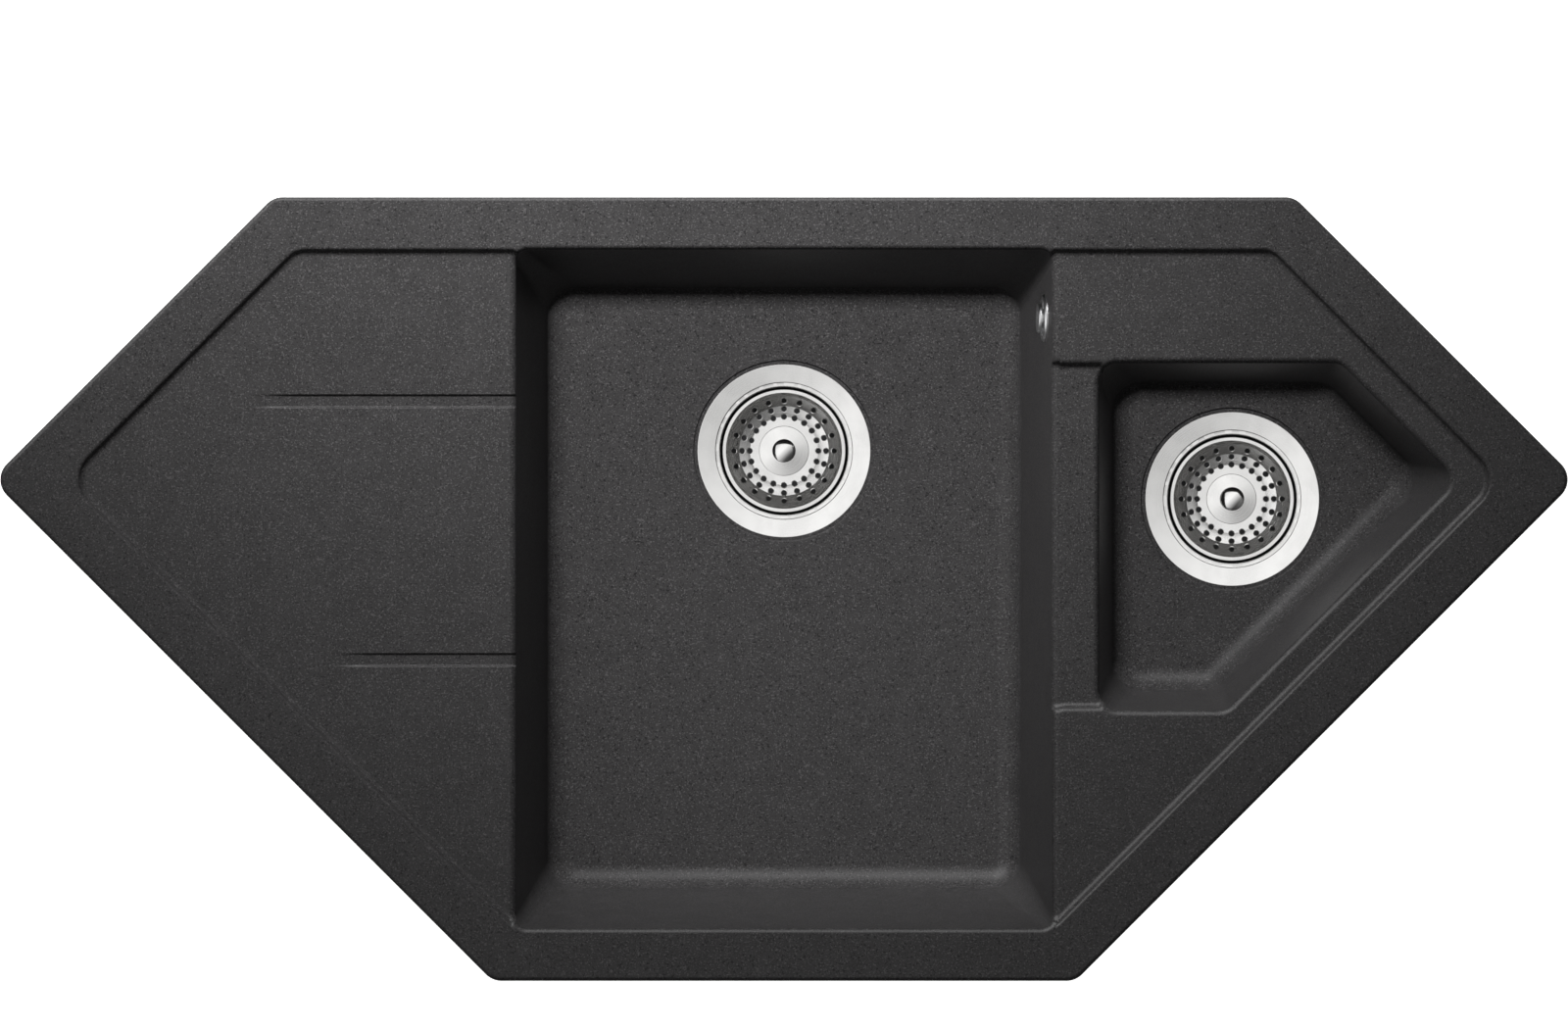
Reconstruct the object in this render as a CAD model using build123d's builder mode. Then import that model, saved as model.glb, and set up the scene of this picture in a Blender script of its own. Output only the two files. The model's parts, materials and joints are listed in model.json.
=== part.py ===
from build123d import *
import os
from math import cos, radians, sin, sqrt, tan

# Corner kitchen sink, cast in one piece with a main bowl, a half bowl and a drainer, with its basket
# strainers, overflow, drain pipes and worktop clamps. Millimetres. +X right, +Y back, +Z up; the origin is
# in the middle of the outline, on the plane of the worktop that the rim lies on.

# --- outline, rim and deck
sink_length = 1060.0  # from side corner to side corner
sink_width = 530.0  # front edge to back edge
side_corner_y = 74.0  # how far the two side corners lie behind the middle
corner_radius = 15.0
rim_height = 8.0
rim_edge_radius = 3.0
rim_width = 36.5
deck_drop = 5.0  # deck below the top of the rim
deck_corner_radius = 10.0
rim_step_radius = 2.2
deck_step_radius = 2.5
wall = 10.0
cutout_inset = 14.0  # from the outer edge to the skirt that drops into the worktop
skirt_width = 4.0
skirt_depth = 17.0
seal_inset = 4.0
seal_width = 5.0
seal_depth = 2.0

# --- bowls
main_depth = 185.0  # deck to floor
half_depth = 125.0
bowl_corner_margin = 1.0
opening_corner_radius = 12.0
floor_corner_radius = 22.0
floor_radius = 17.0
shell_edge_radius = 20.0
lip_radius = 5.0
side_draft = 6.2
front_draft = 7.3
half_draft = 5.9
divider_width = 32.0
divider_drop = 5.0  # divider below the deck
tap_ledge_width = 76.0
half_front_length = 86.0  # front side of the half bowl, up to its slanted side
half_bowl_inset = 57.6  # slanted sides of the half bowl, in from the outer edge
half_corner_radius = 10.0
half_lip_radius = 4.6

# --- drainer
groove_width = 8.0
groove_depth = 2.0
groove_rows = ((127.0, 186.0), (-48.0, 130.0))  # (Y, length) of each groove
drainer_rib_rows = (165.0, 70.0, -5.0)
drainer_rib_width = 6.0
drainer_rib_depth = 15.0

# --- drains
drain_hole_radius = 46.0
main_drain_y = 94.3
half_drain_run = 93.8  # from the left side of the half bowl
half_drain_setback = 12.9  # in front of the side corner
flange_radius = 59.6
seat_gap = 2.4
seat_depth = 1.5
sheet = 1.0
cup_clearance = 0.8
cup_depth = 26.0
basket_gap = 1.8
hole_margin_inner = 1.8  # from the foot of the disc to the first row of holes
hole_margin_outer = 2.6  # from the last row of holes to the side
holes_per_row = 20
hole_diameter = 3.0
knob_radius = 7.0
stem_radius = 9.0
seal_thickness = 3.0
seal_radius = 30.0
gasket_thickness = 1.0
lower_gasket_thickness = 3.0
waste_room = 1.3  # between the cup and the waste body
waste_wall = 3.5
waste_flange_width = 6.0
waste_flange_thickness = 5.0
waste_length = 95.0
waste_cone_slope = 0.8
hub_gap = 2.0
screw_radius = 3.0
screw_head_radius = 5.5
screw_head_height = 4.0
hub_radius = 8.0

hub_height = 16.0
arm_width = 5.0
arm_height = 7.0
thread_fit = 0.05
centre_hole_radius = 3.4
screw_socket_radius = 3.2
screw_socket_depth = 3.0
screw_length = 17.0
roll_depth = 4.5  # depth of the rolled edge between the flange and the cup
flange_roll = 3.4  # width of the rolled edge
flange_inner_z = 0.5
flange_top_z = 1.8
cup_hole_rows = ((15.0, 8, 3.0), (23.0, 12, 3.5))  # (radius of the row, holes, hole radius)
gasket_inset = 1.5
basket_rim_z = -2.4
basket_floor_z = -15.0
basket_side = 5.2  # how far the side of the basket leans in
trough_width = 14.8
disc_slope = 0.6
disc_width = 5.0
disc_z = -9.2
cone_top_radius = 8.0
cone_top_z = -2.5
knob_z = 5.0
knob_neck_radius = 3.5
knob_shank_radius = 2.5
knob_hole_radius = 2.6
stem_neck_radius = 6.8
stem_collar_z = -17.5
stem_collar_radius = 12.0
stem_socket_radius = 6.3
stem_lift = 0.5

# --- pipes
pipe_radius = 20.0
pipe_wall = 1.8
pipe_fit = 0.15
socket_depth = 14.0
socket_wall = 2.85
nut_wall = 4.5
nut_height = 22.0
washer_height = 4.0
drain_line_z = -332.0
tee_bottom_z = -380.0
tee_branch = 48.0
bend_radius = 32.0
pipe_gap = 1.0  # between the end of a pipe and the bottom of its socket
nut_lip = 2.0

# --- overflow
overflow_setback = 31.5  # overflow axis behind the half bowl
overflow_drop = 40.0  # overflow axis below the deck
cover_radius = 16.3
cap_radius = 10.5
cover_depth = 5.3
overflow_hole_radius = 11.0
overflow_head_radius = 19.0
overflow_head_depth = 20.0
overflow_gasket_thickness = 2.0
spout_radius = 10.0
spout_bore = 8.0
spout_length = 22.0
hose_clearance = 0.2
overflow_pipe_radius = 12.0
overflow_bend = 24.0
inlet_drop = 34.0  # overflow inlet below the floor of the main bowl
inlet_length = 20.0
inlet_margin = 3.0  # wall left below the inlet before the waste body narrows
clip_radius = 14.0
clip_width = 7.0
clip_inset = 2.0
clip_lug = 6.0
hose_overlap = 12.0
cover_ring_inner = 12.0
cover_ring_height = 2.0
cover_screw_hole = 2.6
cover_head_radius = 4.3
cover_arm_width = 3.0
cap_hub_radius = 6.0
cap_thickness = 1.8
overflow_screw_length = 30.0
head_bore_radius = 13.0
head_hub_radius = 5.0
head_wall = 3.0
web_width = 3.0

# --- tap holes, closed by a thin skin that is drilled out when a tap is fitted
tap_hole_radius = 17.5
tap_skin = 3.0
tap_hole_run = (41.906, 91.906)  # from the left side of the half bowl
tap_hole_setback = 37.5  # behind the half bowl

# --- worktop clamps
boss_length = 20.0
boss_depth = 34.0
boss_outer = 15.0  # from the outer edge of the sink
boss_inner = 29.0
clamp_line = 22.0  # fixing screw and clamp screw, in from the outer edge
clamp_spacing = 26.0  # between those two screws
bracket_thickness = 2.5
bracket_width = 12.0
clamp_screw_radius = 3.0
running_fit = 0.1
clamp_travel = 20.0
claw_length = 24.0
claw_width = 14.0
claw_thickness = 3.0
claw_tip = 10.0
back_clamp_x = 240.0
front_clamp_x = 100.0
side_clamps_back = (0.45,)  # shares of a slanted side's length
side_clamps_front = (0.5,)

fixing_screw_radius = 1.9
fixing_clearance = 0.4
fixing_head_radius = 4.2
fixing_head_height = 2.5
fixing_depth = 12.0
collar_radius = 5.5
collar_height = 4.0
clamp_head_radius = 6.0
clamp_head_height = 4.0
clamp_screw_stand = 3.0  # end of the clamp screw above the bracket
slot_width = 1.6
slot_depth = 2.0
claw_tip_width = 4.0
claw_gap = 1.5  # between the raised claw and the bracket

# --- values that follow
apex_x = sink_length / 2 + corner_radius * (sqrt(2) - 1)
deck_z = rim_height - deck_drop
lip_z = deck_z - lip_radius
divider_z = deck_z - divider_drop
main_floor_z = deck_z - main_depth
half_floor_z = deck_z - half_depth
under_z = deck_z - wall
recess_y = sink_width / 2 - rim_width
main_half_y = recess_y
cup_radius = drain_hole_radius - cup_clearance
waste_radius = cup_radius + waste_room + waste_wall
socket_radius = pipe_radius + pipe_fit + socket_wall
nut_radius = socket_radius + nut_wall


def outline_points(inset):
    """The six corners of the outline, moved inwards; the four slanted sides run at 45 degrees."""
    edge_y = sink_width / 2 - inset
    tip = apex_x - inset * sqrt(2)
    back_x = tip + side_corner_y - edge_y
    front_x = tip - side_corner_y - edge_y
    return [
        (front_x, -edge_y),
        (tip, side_corner_y),
        (back_x, edge_y),
        (-back_x, edge_y),
        (-tip, side_corner_y),
        (-front_x, -edge_y),
    ]


main_half_x = outline_points(rim_width)[0][0] - bowl_corner_margin
half_left_x = main_half_x + divider_width
half_back_y = recess_y - tap_ledge_width
half_tip_x = apex_x - half_bowl_inset * sqrt(2)
half_front_y = side_corner_y - (half_tip_x - half_left_x - half_front_length)
half_drain_xy = (half_left_x + half_drain_run, side_corner_y - half_drain_setback)


def outline_face(z, inset, radius):
    """The outline at a height, moved inwards and with rounded corners."""
    with BuildSketch(Plane.XY.offset(z)) as face:
        Polygon(*outline_points(inset), align=None)
        fillet(face.vertices(), radius)
    return face.sketch


def main_face(z, grow, radius):
    """Section of the main bowl at a height, moved outwards by grow."""
    depth = lip_z - z
    length = 2 * (main_half_x - depth * tan(radians(side_draft)) + grow)
    width = 2 * (main_half_y - depth * tan(radians(front_draft)) + grow)
    with BuildSketch(Plane.XY.offset(z)) as face:
        RectangleRounded(length, width, radius)
    return face.sketch


def half_face(z, grow, radius):
    """Section of the half bowl at a height: two slanted sides follow the slanted edges of the sink."""
    grow -= (divider_z - z) * tan(radians(half_draft))
    tip = half_tip_x + grow * sqrt(2)
    left, back, front = half_left_x - grow, half_back_y + grow, half_front_y - grow
    with BuildSketch(Plane.XY.offset(z)) as face:
        Polygon(
            (left, front),
            (tip - (side_corner_y - front), front),
            (tip, side_corner_y),
            (tip - (back - side_corner_y), back),
            (left, back),
            align=None,
        )
        fillet(face.vertices(), radius)
    return face.sketch


def ring_face(z, outer, inner):
    """A flat ring between two copies of the outline."""
    return outline_face(z, outer, corner_radius) - outline_face(z, inner, corner_radius)


def edge_place(corner, share=None, along=None):
    """Frame on the outer edge after a corner of the outline: X along the edge, Y inwards."""
    points = outline_points(0)
    start = Vector(*points[corner])
    end = Vector(*points[(corner + 1) % len(points)])
    run = end - start
    distance = along if share is None else share * run.length
    place = start + run.normalized() * distance
    return Plane(origin=(place.X, place.Y, 0), x_dir=run.normalized(), z_dir=(0, 0, 1))


back_edge = 2 * outline_points(0)[2][0]
front_edge = 2 * outline_points(0)[0][0]
clamp_places = [edge_place(0, share=s) for s in side_clamps_front]
clamp_places += [edge_place(1, share=1 - s) for s in side_clamps_back]
clamp_places += [edge_place(2, along=back_edge / 2 + x) for x in (-back_clamp_x, back_clamp_x)]
clamp_places += [edge_place(3, share=s) for s in side_clamps_back]
clamp_places += [edge_place(4, share=1 - s) for s in side_clamps_front]
clamp_places += [edge_place(5, along=front_edge / 2 + x) for x in (-front_clamp_x, front_clamp_x)]

# drains: name, centre and floor height of each bowl
drains = (
    ("main", 0.0, main_drain_y, main_floor_z),
    ("half", half_drain_xy[0], half_drain_xy[1], half_floor_z),
)

# overflow: its axis stands square on the slanted right wall of the main bowl, and z points into the bowl
overflow_y = half_back_y + overflow_setback
overflow_z = deck_z - overflow_drop
overflow_x = main_half_x - (lip_z - overflow_z) * tan(radians(side_draft))
overflow_plane = Plane(
    origin=(overflow_x, overflow_y, overflow_z),
    x_dir=(0, 1, 0),
    z_dir=(-cos(radians(side_draft)), 0, sin(radians(side_draft))),
)
overflow_back = -(wall * cos(radians(side_draft)) + overflow_gasket_thickness)
spout_depth = overflow_back - overflow_head_depth / 2
spout_x = overflow_x - spout_depth * cos(radians(side_draft))
spout_z = overflow_z + spout_depth * sin(radians(side_draft)) - overflow_head_radius
spout_end_z = spout_z - spout_length
inlet_z = main_floor_z - inlet_drop
inlet_run = Vector(-spout_x, main_drain_y - overflow_y, 0)
inlet_way = inlet_run.normalized()
inlet_start = waste_radius - waste_wall / 2
inlet_end = waste_radius + inlet_length
inlet_plane = Plane(origin=(0, main_drain_y, inlet_z), x_dir=(0, 0, 1), z_dir=-inlet_way)

# radii and heights in each drain; heights are from the floor of its bowl
flange_inner_radius = cup_radius + flange_roll
waste_flange = waste_radius + waste_flange_width
flange_z = gasket_thickness - seat_depth
waste_top_z = -wall - lower_gasket_thickness
waste_cone_z = -inlet_drop - spout_radius - inlet_margin
waste_neck_z = waste_cone_z - (waste_radius - socket_radius) * waste_cone_slope
hub_z = -cup_depth - sheet - hub_gap
basket_radius = cup_radius - sheet - basket_gap
basket_floor_radius = basket_radius - basket_side
disc_foot_radius = basket_floor_radius - trough_width
disc_outer_radius = disc_foot_radius - disc_slope
disc_inner_radius = disc_outer_radius - disc_width
first_row = disc_foot_radius + hole_margin_inner
last_row = basket_floor_radius - hole_margin_outer
hole_rows = (first_row, (first_row + last_row) / 2, last_row)

# heights of the clamps, below the worktop
claw_z = -boss_depth - bracket_thickness - clamp_travel - claw_gap - claw_thickness
clamp_screw_top = -boss_depth + clamp_screw_stand


def write(part, name):
    """Names a finished piece and writes it."""
    part.label = name
    export_step(part, f"parts/{name}.step")


os.makedirs("parts", exist_ok=True)

# --- the cast body: outer shells of the bowls
with BuildPart() as main_shell:
    loft(
        [
            main_face(main_floor_z - wall, wall, floor_corner_radius + wall),
            main_face(0, wall, opening_corner_radius + wall / 2),
        ]
    )
    fillet(main_shell.edges().group_by(Axis.Z)[0], shell_edge_radius)

with BuildPart() as half_shell:
    loft(
        [
            half_face(half_floor_z - wall, wall, floor_corner_radius + wall),
            half_face(0, wall, half_corner_radius + wall / 2),
        ]
    )
    fillet(half_shell.edges().group_by(Axis.Z)[0], shell_edge_radius)

# --- the hollows of the bowls
with BuildPart() as main_hollow:
    loft(
        [
            main_face(main_floor_z, 0, floor_corner_radius),
            main_face(lip_z, 0, opening_corner_radius / 2),
        ]
    )
    fillet(main_hollow.edges().group_by(Axis.Z)[0], floor_radius)

# above the lip line the left and right sides roll over onto the deck
with BuildPart() as main_mouth:
    with BuildSketch(Plane.XY.offset(lip_z)) as mouth_outline:
        RectangleRounded(2 * (main_half_x + lip_radius), 2 * main_half_y, opening_corner_radius)
    extrude(amount=lip_radius + deck_drop + 1)
    for side in (-1, 1):
        with BuildSketch(Plane.XZ.offset(-main_half_y - 1)) as lip_section:
            with Locations((side * (main_half_x + lip_radius), lip_z)):
                Circle(lip_radius)
        extrude(amount=2 * main_half_y + 2, mode=Mode.SUBTRACT)

with BuildPart() as half_hollow:
    loft(
        [
            half_face(half_floor_z, 0, floor_corner_radius),
            half_face(divider_z, 0, half_corner_radius),
        ]
    )
    fillet(half_hollow.edges().group_by(Axis.Z)[0], floor_radius)
    extrude(half_face(divider_z, 0, half_corner_radius), amount=rim_height + 1 - divider_z)

# the divider between the bowls is lower than the deck and rolls over into both bowls
divider_lip_z = divider_z - lip_radius
with BuildPart() as divider_hollow:
    with BuildSketch(Plane.XZ.offset(-half_back_y)) as divider_section:
        with BuildLine():
            Polyline(
                (half_left_x + half_corner_radius, divider_lip_z),
                (half_left_x + half_corner_radius, deck_z + 1),
                (main_half_x - 1, deck_z + 1),
                (main_half_x - 1, divider_lip_z),
                (main_half_x, divider_lip_z),
            )
            CenterArc((main_half_x + lip_radius, divider_lip_z), lip_radius, 180, -90)
            Line((main_half_x + lip_radius, divider_z), (half_left_x - lip_radius, divider_z))
            CenterArc((half_left_x - lip_radius, divider_lip_z), lip_radius, 90, -90)
            Line(
                (half_left_x, divider_lip_z),
                (half_left_x + half_corner_radius, divider_lip_z),
            )
        make_face()
    extrude(amount=half_back_y - half_front_y)

with BuildPart() as sink_body:
    extrude(outline_face(0, 0, corner_radius), amount=rim_height)
    fillet(sink_body.edges().group_by(Axis.Z)[-1], rim_edge_radius)
    extrude(outline_face(under_z, cutout_inset, corner_radius), amount=-under_z)
    extrude(
        ring_face(-skirt_depth, cutout_inset, cutout_inset + skirt_width),
        amount=skirt_depth + under_z,
    )
    add(main_shell.part)
    add(half_shell.part)
    # stiffening ribs under the drainer, from the skirt to the main bowl
    for rib_y in drainer_rib_rows:
        tip_x = apex_x - cutout_inset * sqrt(2) - abs(rib_y - side_corner_y)
        rib_length = tip_x - main_half_x - skirt_width
        with Locations((-main_half_x - rib_length / 2, rib_y, under_z - drainer_rib_depth / 2)):
            Box(rib_length, drainer_rib_width, drainer_rib_depth)
    # bosses that the clamp brackets are screwed to
    for place in clamp_places:
        with BuildSketch(place.offset(-boss_depth)) as boss:
            with Locations((0, (boss_outer + boss_inner) / 2)):
                RectangleRounded(boss_length, boss_inner - boss_outer, 2)
        extrude(amount=boss_depth + under_z + 1)
    # recess of the deck inside the rim
    extrude(
        outline_face(deck_z, rim_width, deck_corner_radius),
        amount=deck_drop + 1,
        mode=Mode.SUBTRACT,
    )
    step_edges = sink_body.edges(Select.LAST)
    fillet(step_edges.filter_by_position(Axis.Z, deck_z - 0.1, deck_z + 0.1), deck_step_radius)
    fillet(
        step_edges.filter_by_position(Axis.Z, rim_height - 0.1, rim_height + 0.1),
        rim_step_radius,
    )
    add(main_hollow.part, mode=Mode.SUBTRACT)
    add(main_mouth.part, mode=Mode.SUBTRACT)
    add(half_hollow.part, mode=Mode.SUBTRACT)
    mouth_edges = sink_body.edges(Select.LAST).filter_by_position(Axis.Z, deck_z - 0.1, deck_z + 0.1)
    fillet(mouth_edges, half_lip_radius)
    add(divider_hollow.part, mode=Mode.SUBTRACT)
    # drainer grooves, deepest at the bowl and fading out towards the left
    for groove_y, groove_length in groove_rows:
        with BuildSketch(Plane.XZ.offset(-groove_y - groove_width / 2)) as groove:
            Polygon(
                (-main_half_x - groove_length, deck_z),
                (-main_half_x, deck_z - groove_depth),
                (-main_half_x, deck_z + 1),
                (-main_half_x - groove_length, deck_z + 1),
                align=None,
            )
        extrude(amount=groove_width, mode=Mode.SUBTRACT)
    # drain holes, each with a shallow seat for its flange
    for _, drain_x, drain_y, floor_z in drains:
        with Locations((drain_x, drain_y, floor_z)):
            CounterBoreHole(
                drain_hole_radius, flange_radius + seat_gap, seat_depth, depth=wall + 1
            )
    # overflow hole
    with BuildSketch(overflow_plane.offset(5)) as overflow_hole:
        Circle(overflow_hole_radius)
    extrude(amount=-wall - 10, mode=Mode.SUBTRACT)
    # tap holes, open from below
    for run in tap_hole_run:
        with BuildSketch(Plane.XY.offset(deck_z - tap_skin)) as tap_hole:
            with Locations((half_left_x + run, half_back_y + tap_hole_setback)):
                Circle(tap_hole_radius)
        extrude(amount=-wall, mode=Mode.SUBTRACT)
    # groove for the seal under the rim
    extrude(
        ring_face(0, seal_inset, seal_inset + seal_width),
        amount=seal_depth,
        mode=Mode.SUBTRACT,
    )
    # pilot holes in the bosses
    for place in clamp_places:
        with BuildSketch(place.offset(-boss_depth)) as pilot:
            with Locations((0, clamp_line)):
                Circle(2.0)
        extrude(amount=16, mode=Mode.SUBTRACT)

write(sink_body.part, "sink_body")

# --- seal under the rim
with BuildPart() as rim_seal:
    extrude(ring_face(0, seal_inset, seal_inset + seal_width), amount=seal_depth)
write(rim_seal.part, "rim_seal")

# --- worktop clamps: bracket, its fixing screw, a clamp screw that is threaded in it, and a claw
with BuildPart() as clamp_brackets:
    for place in clamp_places:
        with BuildSketch(place.offset(-boss_depth)) as plate:
            with Locations((clamp_spacing / 2, clamp_line)):
                SlotCenterToCenter(clamp_spacing, bracket_width)
            with Locations((0, clamp_line)):
                Circle(fixing_screw_radius + fixing_clearance, mode=Mode.SUBTRACT)
        extrude(amount=-bracket_thickness)
        with BuildSketch(place.offset(-boss_depth)) as collar:
            with Locations((clamp_spacing, clamp_line)):
                Circle(collar_radius)
        extrude(amount=collar_height)
        with BuildSketch(place.offset(-boss_depth - bracket_thickness)) as thread:
            with Locations((clamp_spacing, clamp_line)):
                Circle(clamp_screw_radius + running_fit)
        extrude(amount=bracket_thickness + collar_height, mode=Mode.SUBTRACT)
write(clamp_brackets.part, "clamp_brackets")

with BuildPart() as bracket_screws:
    for place in clamp_places:
        with BuildSketch(place.offset(-boss_depth - bracket_thickness)) as head:
            with Locations((0, clamp_line)):
                Circle(fixing_head_radius)
        extrude(amount=-fixing_head_height)
        with BuildSketch(place.offset(-boss_depth - bracket_thickness)) as shank:
            with Locations((0, clamp_line)):
                Circle(fixing_screw_radius)
        extrude(amount=bracket_thickness + fixing_depth)
write(bracket_screws.part, "bracket_screws")

for number, place in enumerate(clamp_places, start=1):
    with BuildPart() as clamp_screw:
        with BuildSketch(place.offset(claw_z)) as head:
            with Locations((clamp_spacing, clamp_line)):
                Circle(clamp_head_radius)
        extrude(amount=-clamp_head_height)
        with BuildSketch(place.offset(claw_z - clamp_head_height)) as slot:
            with Locations((clamp_spacing, clamp_line)):
                Rectangle(2 * clamp_head_radius + 1, slot_width)
        extrude(amount=slot_depth, mode=Mode.SUBTRACT)
        with BuildSketch(place.offset(claw_z)) as rod:
            with Locations((clamp_spacing, clamp_line)):
                Circle(clamp_screw_radius)
        extrude(amount=clamp_screw_top - claw_z)
    write(clamp_screw.part, f"clamp_screw_{number}")

    with BuildPart() as clamp_claw:
        with BuildSketch(place.offset(claw_z)) as arm:
            with Locations((clamp_spacing, clamp_line)):
                Circle(claw_width / 2)
            with Locations((clamp_spacing + claw_length / 2, clamp_line)):
                Rectangle(claw_length, claw_width)
        extrude(amount=claw_thickness)
        with BuildSketch(place.offset(claw_z)) as tip:
            with Locations((clamp_spacing + claw_length - claw_tip_width / 2, clamp_line)):
                Rectangle(claw_tip_width, claw_width)
        extrude(amount=claw_thickness + claw_tip)
        with BuildSketch(place.offset(claw_z)) as bore:
            with Locations((clamp_spacing, clamp_line)):
                Circle(clamp_screw_radius + running_fit)
        extrude(amount=claw_thickness, mode=Mode.SUBTRACT)
    write(clamp_claw.part, f"clamp_claw_{number}")


def lathe_face(place, *points):
    """A section in (radius, height) about the upright axis of a place, ready to be turned about it."""
    side = Plane(origin=place.origin, x_dir=place.x_dir, z_dir=-place.y_dir)
    with BuildSketch(side) as face:
        Polygon(*points, align=None)
    return face.sketch


def axis_of(place):
    """The upright axis of a place."""
    return Axis(place.origin, place.z_dir)


# --- the drain of each bowl
for name, drain_x, drain_y, floor_z in drains:
    floor = Plane(origin=(drain_x, drain_y, floor_z))

    with BuildPart() as strainer_cup:
        section = lathe_face(
            floor,
            (centre_hole_radius, -cup_depth),
            (cup_radius - sheet, -cup_depth),
            (cup_radius - sheet, -roll_depth),
            (cup_radius + sheet, -sheet),
            (flange_inner_radius, flange_inner_z),
            (flange_radius - sheet, flange_top_z),
            (flange_radius, flange_top_z - sheet),
            (flange_radius, flange_z),
            (cup_radius, flange_z),
            (cup_radius, -cup_depth - sheet),
            (centre_hole_radius, -cup_depth - sheet),
        )
        revolve(section, axis=axis_of(floor))
        for row_radius, count, radius in cup_hole_rows:
            with BuildSketch(floor.offset(-cup_depth)) as drain_holes:
                with PolarLocations(row_radius, count):
                    Circle(radius)
            extrude(amount=-sheet, mode=Mode.SUBTRACT)
    write(strainer_cup.part, f"{name}_strainer_cup")

    with BuildPart() as flange_gasket:
        with BuildSketch(floor.offset(-seat_depth)) as ring:
            Circle(flange_radius - gasket_inset)
            Circle(drain_hole_radius + gasket_inset, mode=Mode.SUBTRACT)
        extrude(amount=gasket_thickness)
    write(flange_gasket.part, f"{name}_flange_gasket")

    with BuildPart() as lower_gasket:
        with BuildSketch(floor.offset(-wall)) as ring:
            Circle(waste_flange)
            Circle(drain_hole_radius + gasket_inset, mode=Mode.SUBTRACT)
        extrude(amount=-lower_gasket_thickness)
    write(lower_gasket.part, f"{name}_lower_gasket")

    with BuildPart() as waste_body:
        section = lathe_face(
            floor,
            (waste_radius - waste_wall, waste_top_z),
            (waste_flange, waste_top_z),
            (waste_flange, waste_top_z - waste_flange_thickness),
            (waste_radius, waste_top_z - waste_flange_thickness),
            (waste_radius, waste_cone_z),
            (socket_radius, waste_neck_z),
            (socket_radius, -waste_length),
            (pipe_radius + pipe_fit, -waste_length),
            (pipe_radius + pipe_fit, -waste_length + socket_depth),
            (pipe_radius - pipe_wall, -waste_length + socket_depth),
            (pipe_radius - pipe_wall, waste_neck_z + 2),
            (waste_radius - waste_wall, waste_cone_z + 2),
        )
        revolve(section, axis=axis_of(floor))
        # hub on three arms, which the centre screw is threaded in
        with BuildSketch(floor.offset(hub_z)) as spider:
            Circle(hub_radius)
            with PolarLocations(0, 3):
                with Locations(((waste_radius - waste_wall) / 2, 0)):
                    Rectangle(waste_radius - waste_wall + 1, arm_width)
        extrude(amount=-arm_height)
        with BuildSketch(floor.offset(hub_z)) as hub:
            Circle(hub_radius)
        extrude(amount=-hub_height)
        with BuildSketch(floor.offset(hub_z)) as hub_bore:
            Circle(screw_radius + thread_fit)
        extrude(amount=-hub_height, mode=Mode.SUBTRACT)
        if name == "main":
            with BuildSketch(inlet_plane.offset(inlet_start)) as inlet:
                Circle(spout_radius)
            extrude(amount=inlet_end - inlet_start)
            with BuildSketch(inlet_plane.offset(waste_radius - 2 * waste_wall)) as inlet_bore:
                Circle(spout_bore)
            extrude(amount=inlet_end - waste_radius + 2 * waste_wall, mode=Mode.SUBTRACT)
    write(waste_body.part, f"{name}_waste_body")

    with BuildPart() as centre_screw:
        with BuildSketch(floor.offset(-cup_depth)) as head:
            Circle(screw_head_radius)
        extrude(amount=screw_head_height)
        with BuildSketch(floor.offset(-cup_depth + screw_head_height)) as slot:
            RegularPolygon(screw_socket_radius, 6)
        extrude(amount=-screw_socket_depth, mode=Mode.SUBTRACT)
        with BuildSketch(floor.offset(-cup_depth)) as shank:
            Circle(screw_radius)
        extrude(amount=-screw_length)
    write(centre_screw.part, f"{name}_centre_screw")

    with BuildPart() as basket:
        section = lathe_face(
            floor,
            (knob_hole_radius, cone_top_z - sheet),
            (cone_top_radius - sheet / 2, cone_top_z - sheet),
            (disc_inner_radius - sheet / 2, disc_z - sheet),
            (disc_outer_radius - sheet, disc_z - sheet),
            (disc_foot_radius - sheet, basket_floor_z - sheet),
            (basket_floor_radius + sheet, basket_floor_z - sheet),
            (basket_radius, basket_rim_z - sheet),
            (basket_radius, basket_rim_z),
            (basket_radius - 1.2 * sheet, basket_rim_z),
            (basket_floor_radius, basket_floor_z),
            (disc_foot_radius, basket_floor_z),
            (disc_outer_radius, disc_z),
            (disc_inner_radius, disc_z),
            (cone_top_radius, cone_top_z),
            (knob_hole_radius, cone_top_z),
        )
        revolve(section, axis=axis_of(floor))
        for row_radius in hole_rows:
            with BuildSketch(floor.offset(basket_floor_z)) as holes:
                with PolarLocations(row_radius, holes_per_row):
                    Circle(hole_diameter / 2)
            extrude(amount=-sheet, mode=Mode.SUBTRACT)
    write(basket.part, f"{name}_basket")

    with BuildPart() as basket_stem:
        section = lathe_face(
            floor,
            (knob_shank_radius + running_fit, cone_top_z - sheet),
            (stem_neck_radius, cone_top_z - sheet),
            (stem_neck_radius, stem_collar_z),
            (stem_collar_radius, stem_collar_z),
            (stem_collar_radius, -cup_depth + seal_thickness),
            (stem_radius, -cup_depth + seal_thickness),
            (stem_radius, -cup_depth + stem_lift),
            (stem_socket_radius, -cup_depth + stem_lift),
            (stem_socket_radius, stem_collar_z),
            (knob_shank_radius + running_fit, stem_collar_z),
        )
        revolve(section, axis=axis_of(floor))
    write(basket_stem.part, f"{name}_basket_stem")

    with BuildPart() as basket_seal:
        with BuildSketch(floor.offset(-cup_depth)) as ring:
            Circle(seal_radius)
            Circle(stem_radius, mode=Mode.SUBTRACT)
        extrude(amount=seal_thickness)
    write(basket_seal.part, f"{name}_basket_seal")

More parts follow.
